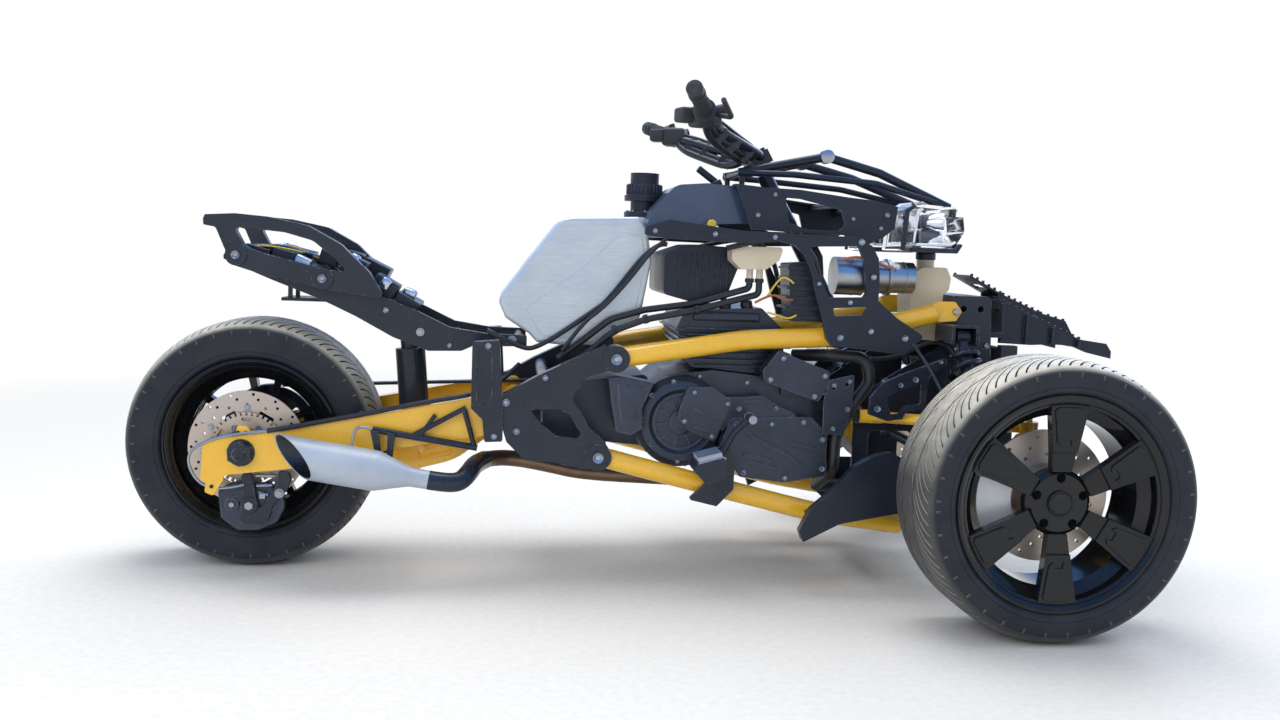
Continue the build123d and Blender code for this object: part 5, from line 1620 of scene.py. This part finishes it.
@dataclass
class TailHarness(Assembly):
    """Connectors, foil-wrapped boxes and ties between the grab rails."""

    def build(self) -> None:
        """Makes the boxes and the bundles of wires."""
        # low corner, high corner, turn about Y in degrees
        boxes = [
            ((-20, -112, 744), (40, -50, 782), 14), ((44, -108, 734), (96, -30, 776), 14),
            ((60, 10, 738), (120, 96, 778), 12), ((110, -104, 706), (168, -20, 742), 18),
            ((-30, 20, 748), (30, 100, 780), 8), ((176, -96, 690), (226, 10, 722), 20),
            ((206, -108, 706), (262, -40, 764), 24), ((236, 10, 700), (306, 96, 752), 26),
            ((278, -100, 672), (340, -20, 716), 30), ((196, 20, 712), (236, 90, 776), 16),
            ((330, -90, 640), (392, 60, 672), 30), ((150, -60, 742), (196, 40, 784), 18),
        ]
        foil = [
            ((96, -116, 722), (136, -86, 762), 24), ((150, -116, 700), (176, -90, 732), 30),
            ((20, -40, 762), (70, 10, 788), -12), ((-44, -100, 760), (-24, -60, 784), 5),
            ((226, -114, 742), (250, -88, 772), 30), ((300, -112, 690), (326, -84, 716), 35),
            ((350, -60, 668), (384, -20, 690), 20),
        ]
        for name, finish, rows, rim, steps in (("tail_boxes", "plastic_black", boxes, 3, 2),
                                               ("tail_foil", "foil", foil, 6, 3)):
            work = self.work(name)
            for low, high, angle in rows:
                work.block(low, high, rim=rim, turn=about("Y", angle), segments=steps)
            work.done(finish)
        routes = {"wire_rust": [], "wire_blue": [], "hose_rubber": [], "wire_yellow": []}
        names = list(routes)
        for i in range(22):
            y = -104 + 9.4 * i
            sag = 6 * sin(2.1 * i)
            routes[names[i % 3 if i % 7 else 3]].append(Line(2.4 + (i % 3), (
                (-44 + 5 * sin(i), y * 0.7, 772 + sag), (10, y, 786 + 0.5 * sag), (70, y * 0.9, 780 - sag),
                (130, -y * 0.3, 762 + sag), (196, y * 0.5, 730 + sag), (262, y * 0.4, 694),
                (330, -40 + y * 0.2, 662))))
        for finish, bundle in routes.items():
            self.lines(f"tail_wires_{finish}", finish, bundle, sides=2)


@dataclass
class TankTrim(Assembly):
    """Raised panel and seams of the fuel tank, and the filler's bolts and grip.

    Attributes:
        side_y: The tank's side at the right.
        filler_x: Middle of the filler, from the rear axle.
    """

    side_y: float = -160.0
    filler_x: float = 945.0

    def build(self) -> None:
        """Makes the panel, the weld seams, the bolts and the ribs of the cap."""
        y = self.side_y
        panel = self.work("tank_panel")
        panel.plate([(650, 656), (788, 762), (880, 848), (926, 838), (936, 782), (914, 646), (828, 590),
                     (738, 588), (690, 594)], y + 1, y - 1.6, rim=1.2)
        panel.mirrored()
        panel.done("raw_aluminium")
        seam = [(604, 634), (586, 676), (732, 874), (916, 884)]
        routes = [Line(2.2, tuple((x, side * 152, z) for x, z in seam)) for side in (-1, 1)]
        self.lines("tank_seams", "raw_aluminium", routes)
        work = self.work("filler_bolts")
        work.ring_of_bolts(at(self.filler_x, 0, 902), UPWARD, 42, 8, 4, 4, head=Head.SOCKET)
        work.done("steel")
        knurl = self.work("filler_knurl")
        for i in range(28):
            angle = 2 * pi * i / 28
            x, y = self.filler_x + 44 * cos(angle), 44 * sin(angle)
            knurl.block((x - 2.2, y - 2.2, 946), (x + 2.2, y + 2.2, 970), rim=1)
        knurl.done("plastic_black")


@dataclass
class Serrations(Assembly):
    """Toothed edges along the nose supports, the carriers and the trellis."""

    pitch: float = 14.0

    def row(self, work: Work, start: Point, end: Point, width: float, rise: float) -> None:
        """Adds a row of small teeth.

        Args:
            work: Piece that they are added to.
            start: First tooth, in millimetres.
            end: Last tooth.
            width: Width of each tooth across the vehicle.
            rise: Height of each tooth.
        """
        first, last = Vector(start), Vector(end)
        count = max(int((last - first).length / self.pitch), 2)
        for i in range(count):
            x, y, z = first.lerp(last, i / (count - 1))
            work.block((x - 3.4, y - width / 2, z - 1.5), (x + 3.4, y + width / 2, z + rise), rim=1)

    def build(self) -> None:
        """Makes the teeth."""
        teeth = self.work("serrated_edges")
        # start, end, width, rise
        rows = [
            ((1800, -57, 771), (1880, -57, 729), 5, 6), ((1888, -57, 725), (1986, -57, 683), 5, 6),
            ((1994, -57, 680), (2056, -57, 663), 5, 5), ((1850, -153, 711), (1930, -153, 674), 6, 5),
            ((1938, -153, 670), (2054, -153, 623), 6, 5),
        ]
        for start, end, width, rise in rows:
            self.row(teeth, start, end, width, rise)
        teeth.mirrored()
        teeth.done("plastic_black")


@dataclass
class Footrests(Assembly):
    """Silver tread plates of the pegs, the pedal's tip and the clamp's bolts."""

    def build(self) -> None:
        """Makes the plates and the tip."""
        silver = self.work("peg_plates")
        silver.plate([(1048, 309), (1056, 322), (1114, 338), (1122, 334), (1118, 328), (1062, 310)], -349,
                     -264, rim=1.5)
        for i in range(7):
            silver.block((1056, -346 + 12 * i, 316), (1114, -342 + 12 * i, 341), rim=1, turn=about("Y", -15))
        silver.mirrored()
        silver.cylinder(at(1186, -300, 420), at(1186, -319, 420), 11, 24, rim=2)
        silver.cylinder(at(1186, -264, 420), at(1186, -268, 420), 11.4, 24, rim=1)
        silver.done("steel")


@dataclass
class Looms(Assembly):
    """Cables, brake lines and hoses that are clipped along the vehicle."""

    # name, finish, radius, points at the right, whether the left has it too
    ROUTES = (
        ("rail_loom", "hose_rubber", 5.0, ((1090, -205, 870), (1010, -206, 862), (940, -200, 800),
                                           (903, -196, 745), (838, -190, 667), (787, -186, 628),
                                           (740, -190, 560)), True),
        ("tank_loom", "hose_rubber", 6.0, ((986, -176, 822), (955, -174, 829), (848, -172, 682),
                                           (817, -170, 658), (685, -170, 563), (639, -168, 560),
                                           (560, -140, 600)), False),
        ("arm_loom", "hose_rubber", 6.0, ((60, -214, 356), (97, -216, 362), (180, -216, 380),
                                          (270, -216, 398), (430, -216, 434), (536, -214, 452),
                                          (600, -170, 480), (640, -140, 520)), False),
        ("arm_brake_line", "steel", 3.4, ((6, -204, 226), (-40, -206, 214), (-88, -206, 222),
                                          (-116, -206, 258), (-120, -208, 296), (-98, -212, 318),
                                          (-60, -214, 336), (-20, -216, 346), (60, -216, 356),
                                          (97, -216, 362)), False),
        ("front_brake_lines", "hose_rubber", 4.5, ((1640, -500, 380), (1660, -440, 420), (1640, -360, 470),
                                                   (1610, -290, 560), (1560, -230, 640), (1480, -205, 660)),
         True),
        ("carrier_loom", "hose_rubber", 7.0, ((1120, -236, 818), (1200, -238, 842), (1290, -238, 846),
                                              (1340, -236, 800), (1360, -232, 720), (1390, -234, 650),
                                              (1420, -236, 640)), True),
        ("box_wires", "wire_yellow", 2.6, ((1227, -215, 704), (1250, -218, 745), (1271, -220, 758),
                                           (1290, -222, 740)), False),
        ("box_wires_low", "wire_yellow", 2.6, ((1230, -215, 668), (1262, -220, 660), (1284, -222, 653),
                                               (1300, -222, 664)), False),
        ("box_wires_rust", "wire_rust", 3.0, ((1200, -208, 690), (1240, -222, 716), (1262, -222, 700),
                                              (1290, -222, 700)),
         False),
        ("motor_cable", "wire_rust", 3.4, ((1400, -236, 800), (1430, -244, 812), (1480, -240, 800),
                                           (1540, -226, 780)), False),
        ("bulkhead_line", "hose_rubber", 5.0, ((1500, -190, 560), (1560, -196, 560), (1640, -200, 610),
                                               (1700, -190, 600), (1740, -184, 520), (1740, -184, 400)),
         True),
        ("radiator_hose", "hose_rubber", 15.0, ((1860, -120, 340), (1830, -120, 300), (1700, -110, 250),
                                                (1540, -110, 226), (1400, -110, 226)), False),
        ("radiator_hose_left", "hose_rubber", 15.0, ((1864, 110, 590), (1840, 110, 606), (1700, 110, 590),
                                                     (1500, 120, 570), (1300, 100, 585)), False),
    )

    def build(self) -> None:
        """Makes each route."""
        for name, finish, radius, points, both in self.ROUTES:
            routes = [Line(radius, points)]
            if both:
                routes.append(Line(radius, tuple((x, -y, z) for x, y, z in points)))
            self.lines(name, finish, routes)


@dataclass
class BarDress(Assembly):
    """Cables, clips, clamp bolts and switch blocks of the handlebar."""

    @staticmethod
    def _grip(side: int) -> tuple[Vector, Vector]:
        """The bend and the end of the bar at one side, in millimetres."""
        return Vector((1074, side * 216, 1107.5)), Vector((1004, side * 418, 1154))

    def build(self) -> None:
        """Makes what turns with the bars."""
        work = self.work("bar_fittings")
        up = Vector((-0.5, 0, 0.866))
        for x, y in ((-16, -40), (16, -40), (-16, 40), (16, 40)):
            work.bolt(at(1232 - 8.5 + x * 0.87, y, 1045 + 14.7 + x * 0.5), up, 7, 7, Head.SOCKET)
        for side in (-1, 1):
            bend, end = self._grip(side)
            along = (end - bend).normalized()
            # middle, half the length, radius, sides and rounding of each collar
            collars = [(bend + along * 30, 5, 14, 24, 1.5), (bend + along * 96, 5, 14, 24, 1.5),
                       (bend + along * 206, 5, 20, 24, 1.5)]
            collars += [(end - along * (14 + 8 * i), 1.6, 18.2, 32, 0.6) for i in range(12)]
            for spot, half, radius, segments, rim in collars:
                work.cylinder(at(*(spot - along * half)), at(*(spot + along * half)), radius, segments,
                              rim=rim)
            spot = bend + along * 78
            work.cylinder(at(*(spot + Vector((16, 0, 4)))), at(*(spot + Vector((46, side * 6, 12)))), 13, 24,
                          rim=2)
            work.cylinder(at(*(spot + Vector((0, 0, 24)))), at(*(spot + Vector((-4, 0, 34)))), 9, 20, rim=2)
            middle = bend + along * 44
            for low, high, rim in (((-40, -30, -22), (24, 30, 26), 9), ((-74, -20, -12), (-34, 26, 22), 7)):
                work.block(tuple(middle + Vector(low)), tuple(middle + Vector(high)), rim=rim,
                           turn=about("Z", side * -18), segments=3)
        work.done("grip_rubber", Body.BARS)
        routes = []
        for side in (-1, 1):
            for radius, ahead, drop in ((7.5, -13, 12), (9.5, -26, 22), (4.0, 4, -16)):
                routes.append(Line(radius, ((1222 + ahead, side * 40, 1050 - drop * 0.4),
                                            (1206 + ahead, side * 92, 1052 - drop),
                                            (1144 + ahead, side * 152, 1078 - drop),
                                            (1090 + ahead, side * 208, 1104 - drop),
                                            (1066 + ahead * 0.4, side * 250, 1118 - drop * 0.4))))
        self.lines("bar_cables", "hose_rubber", routes, Body.BARS, sides=5)
        clips = self.work("bar_clips")
        for side in (-1, 1):
            for x, y, z in ((1186, 110, 1060), (1144, 156, 1078), (1108, 194, 1096)):
                clips.block((x - 30, side * y - 3, z - 26), (x + 9, side * y + 3, z + 13), rim=1.5,
                            turn=about("Y", 42))
            bend, end = self._grip(side)
            face = end + (end - bend).normalized() * 21
            out = face - bend
            clips.lathe([(0, 2.2), (6, 2.2), (8, 3.2), (12, 3.2), (13.5, 1.8), (16, 1.6), (18, 0.4),
                         (18, -0.4), (0, -0.4)], at(*face), out, 40)
        clips.done("grip_rubber", Body.BARS)


@dataclass
class SmallParts(Assembly):
    """Fittings on the bottle, the reservoir, the box, the pump motor and the side carriers."""

    def build(self) -> None:
        """Makes the fittings by finish."""
        black = self.work("small_black_parts")
        # start, end, radius, sides and rounding
        rounds = [((1660, -95, 808), (1660, -95, 826), 25, 32, 3)]
        rounds += [((x, -195, 748), (x, -195, 738), 11, 24, 1.5) for x in (1187, 1211)]
        rounds += [((x + 6, -198, z + 2), (x - 6, -198, z - 2), 11, 20, 1.5)
                   for x, z in ((1062, 668), (938, 642), (864, 614))]
        rounds += [((1065, -100, 1012), (1110, -100, 980), 9, 20, 2),
                   ((1108, -100, 982), (1116, -100, 966), 15, 20, 2)]
        for start, end, radius, segments, rim in rounds:
            black.cylinder(at(*start), at(*end), radius, segments, rim=rim)
        for i in range(9):
            black.block((1018 + 15 * i, -153.5, 706), (1022 + 15 * i, -149, 806 - 2 * abs(i - 4)), rim=1)
        black.lathe([(0, 3), (40, 3), (46, 0), (46, -6), (40, -9), (0, -9)], at(1398, -192, 762), -FORWARD,
                    40)
        black.done("plastic_black")
        silver = self.work("small_silver_parts")
        for x, radius in ((1440, 46.6), (1462, 46.6), (1500, 40.6), (1526, 44.6), (1570, 38.6)):
            silver.lathe([(radius - 1.5, -2.4), (radius + 0.4, -1.6), (radius + 0.4, 1.6),
                          (radius - 1.5, 2.4)], at(x, -192, 762), FORWARD, 48)
        silver.ring_of_bolts(at(1592, -192, 762), FORWARD, 28, 3, 5, 5, head=Head.HEX)
        silver.lathe([(17, 0), (17, 3), (12, 5), (0, 5)], at(1381, -136, 1052), RIGHTWARD, 32)
        silver.done("steel")
        yellow = self.work("rail_plug")
        yellow.cylinder(at(1087, -200, 874), at(1087, -216, 874), 11, 24, rim=4)
        yellow.done("wire_yellow")


# Carried-over nodes


class CadNodes:
    """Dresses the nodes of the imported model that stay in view."""

    def __init__(self, frame: dict, finishes: Finishes) -> None:
        """Reads each node's material slot from the record.

        Args:
            finishes: The vehicle's finishes.
        """
        self.nodes: dict[str, bpy.types.Object] = frame["nodes"]
        self.finishes = finishes
        self.slots = {part["node"]: part["material_slot"] for part in frame["record"]["subparts"]}

    def build(self) -> None:
        """Gives every node its finish."""
        for name, obj in self.nodes.items():
            self.finishes.dress(obj, self.slots[name])
        log.info("dressed %d packed nodes", len(self.nodes))


def main() -> None:
    """Builds the scene: stage, finishes, carried-over nodes, then each sub-assembly."""
    logging.basicConfig(level=logging.INFO, format="%(name)s: %(message)s")
    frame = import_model()
    bpy.context.scene.view_settings.view_transform = "Standard"
    Studio().build()
    finishes = Finishes()
    CadNodes(frame, finishes).build()
    Tyre(finishes, "rear_tyre", Body.REAR_WHEEL, (0, 0, REAR_R), REAR_R, 208, pitches=88, sweep=14).build()
    for side in Side:
        centre = (FRONT_X, side.value * FRONT_Y, FRONT_R)
        Tyre(finishes, f"front_tyre_{side.label}", Body[f"WHEEL_{side.name}"], centre, FRONT_R, 233).build()
        FrontWheelTrim(finishes, side).build()
    for name, rows in BOLT_TABLES.items():
        Fasteners(finishes, name, rows, both=name != "engine_bolts").build()
    for kind in (RearWheelTrim, GearCover, CoilOver, Lamps, Muffler, TailHarness, TankTrim, Serrations,
                 RearBrake, Footrests, Looms, BarDress, SmallParts):
        kind(finishes).build()


if __name__ == "__main__":
    main()
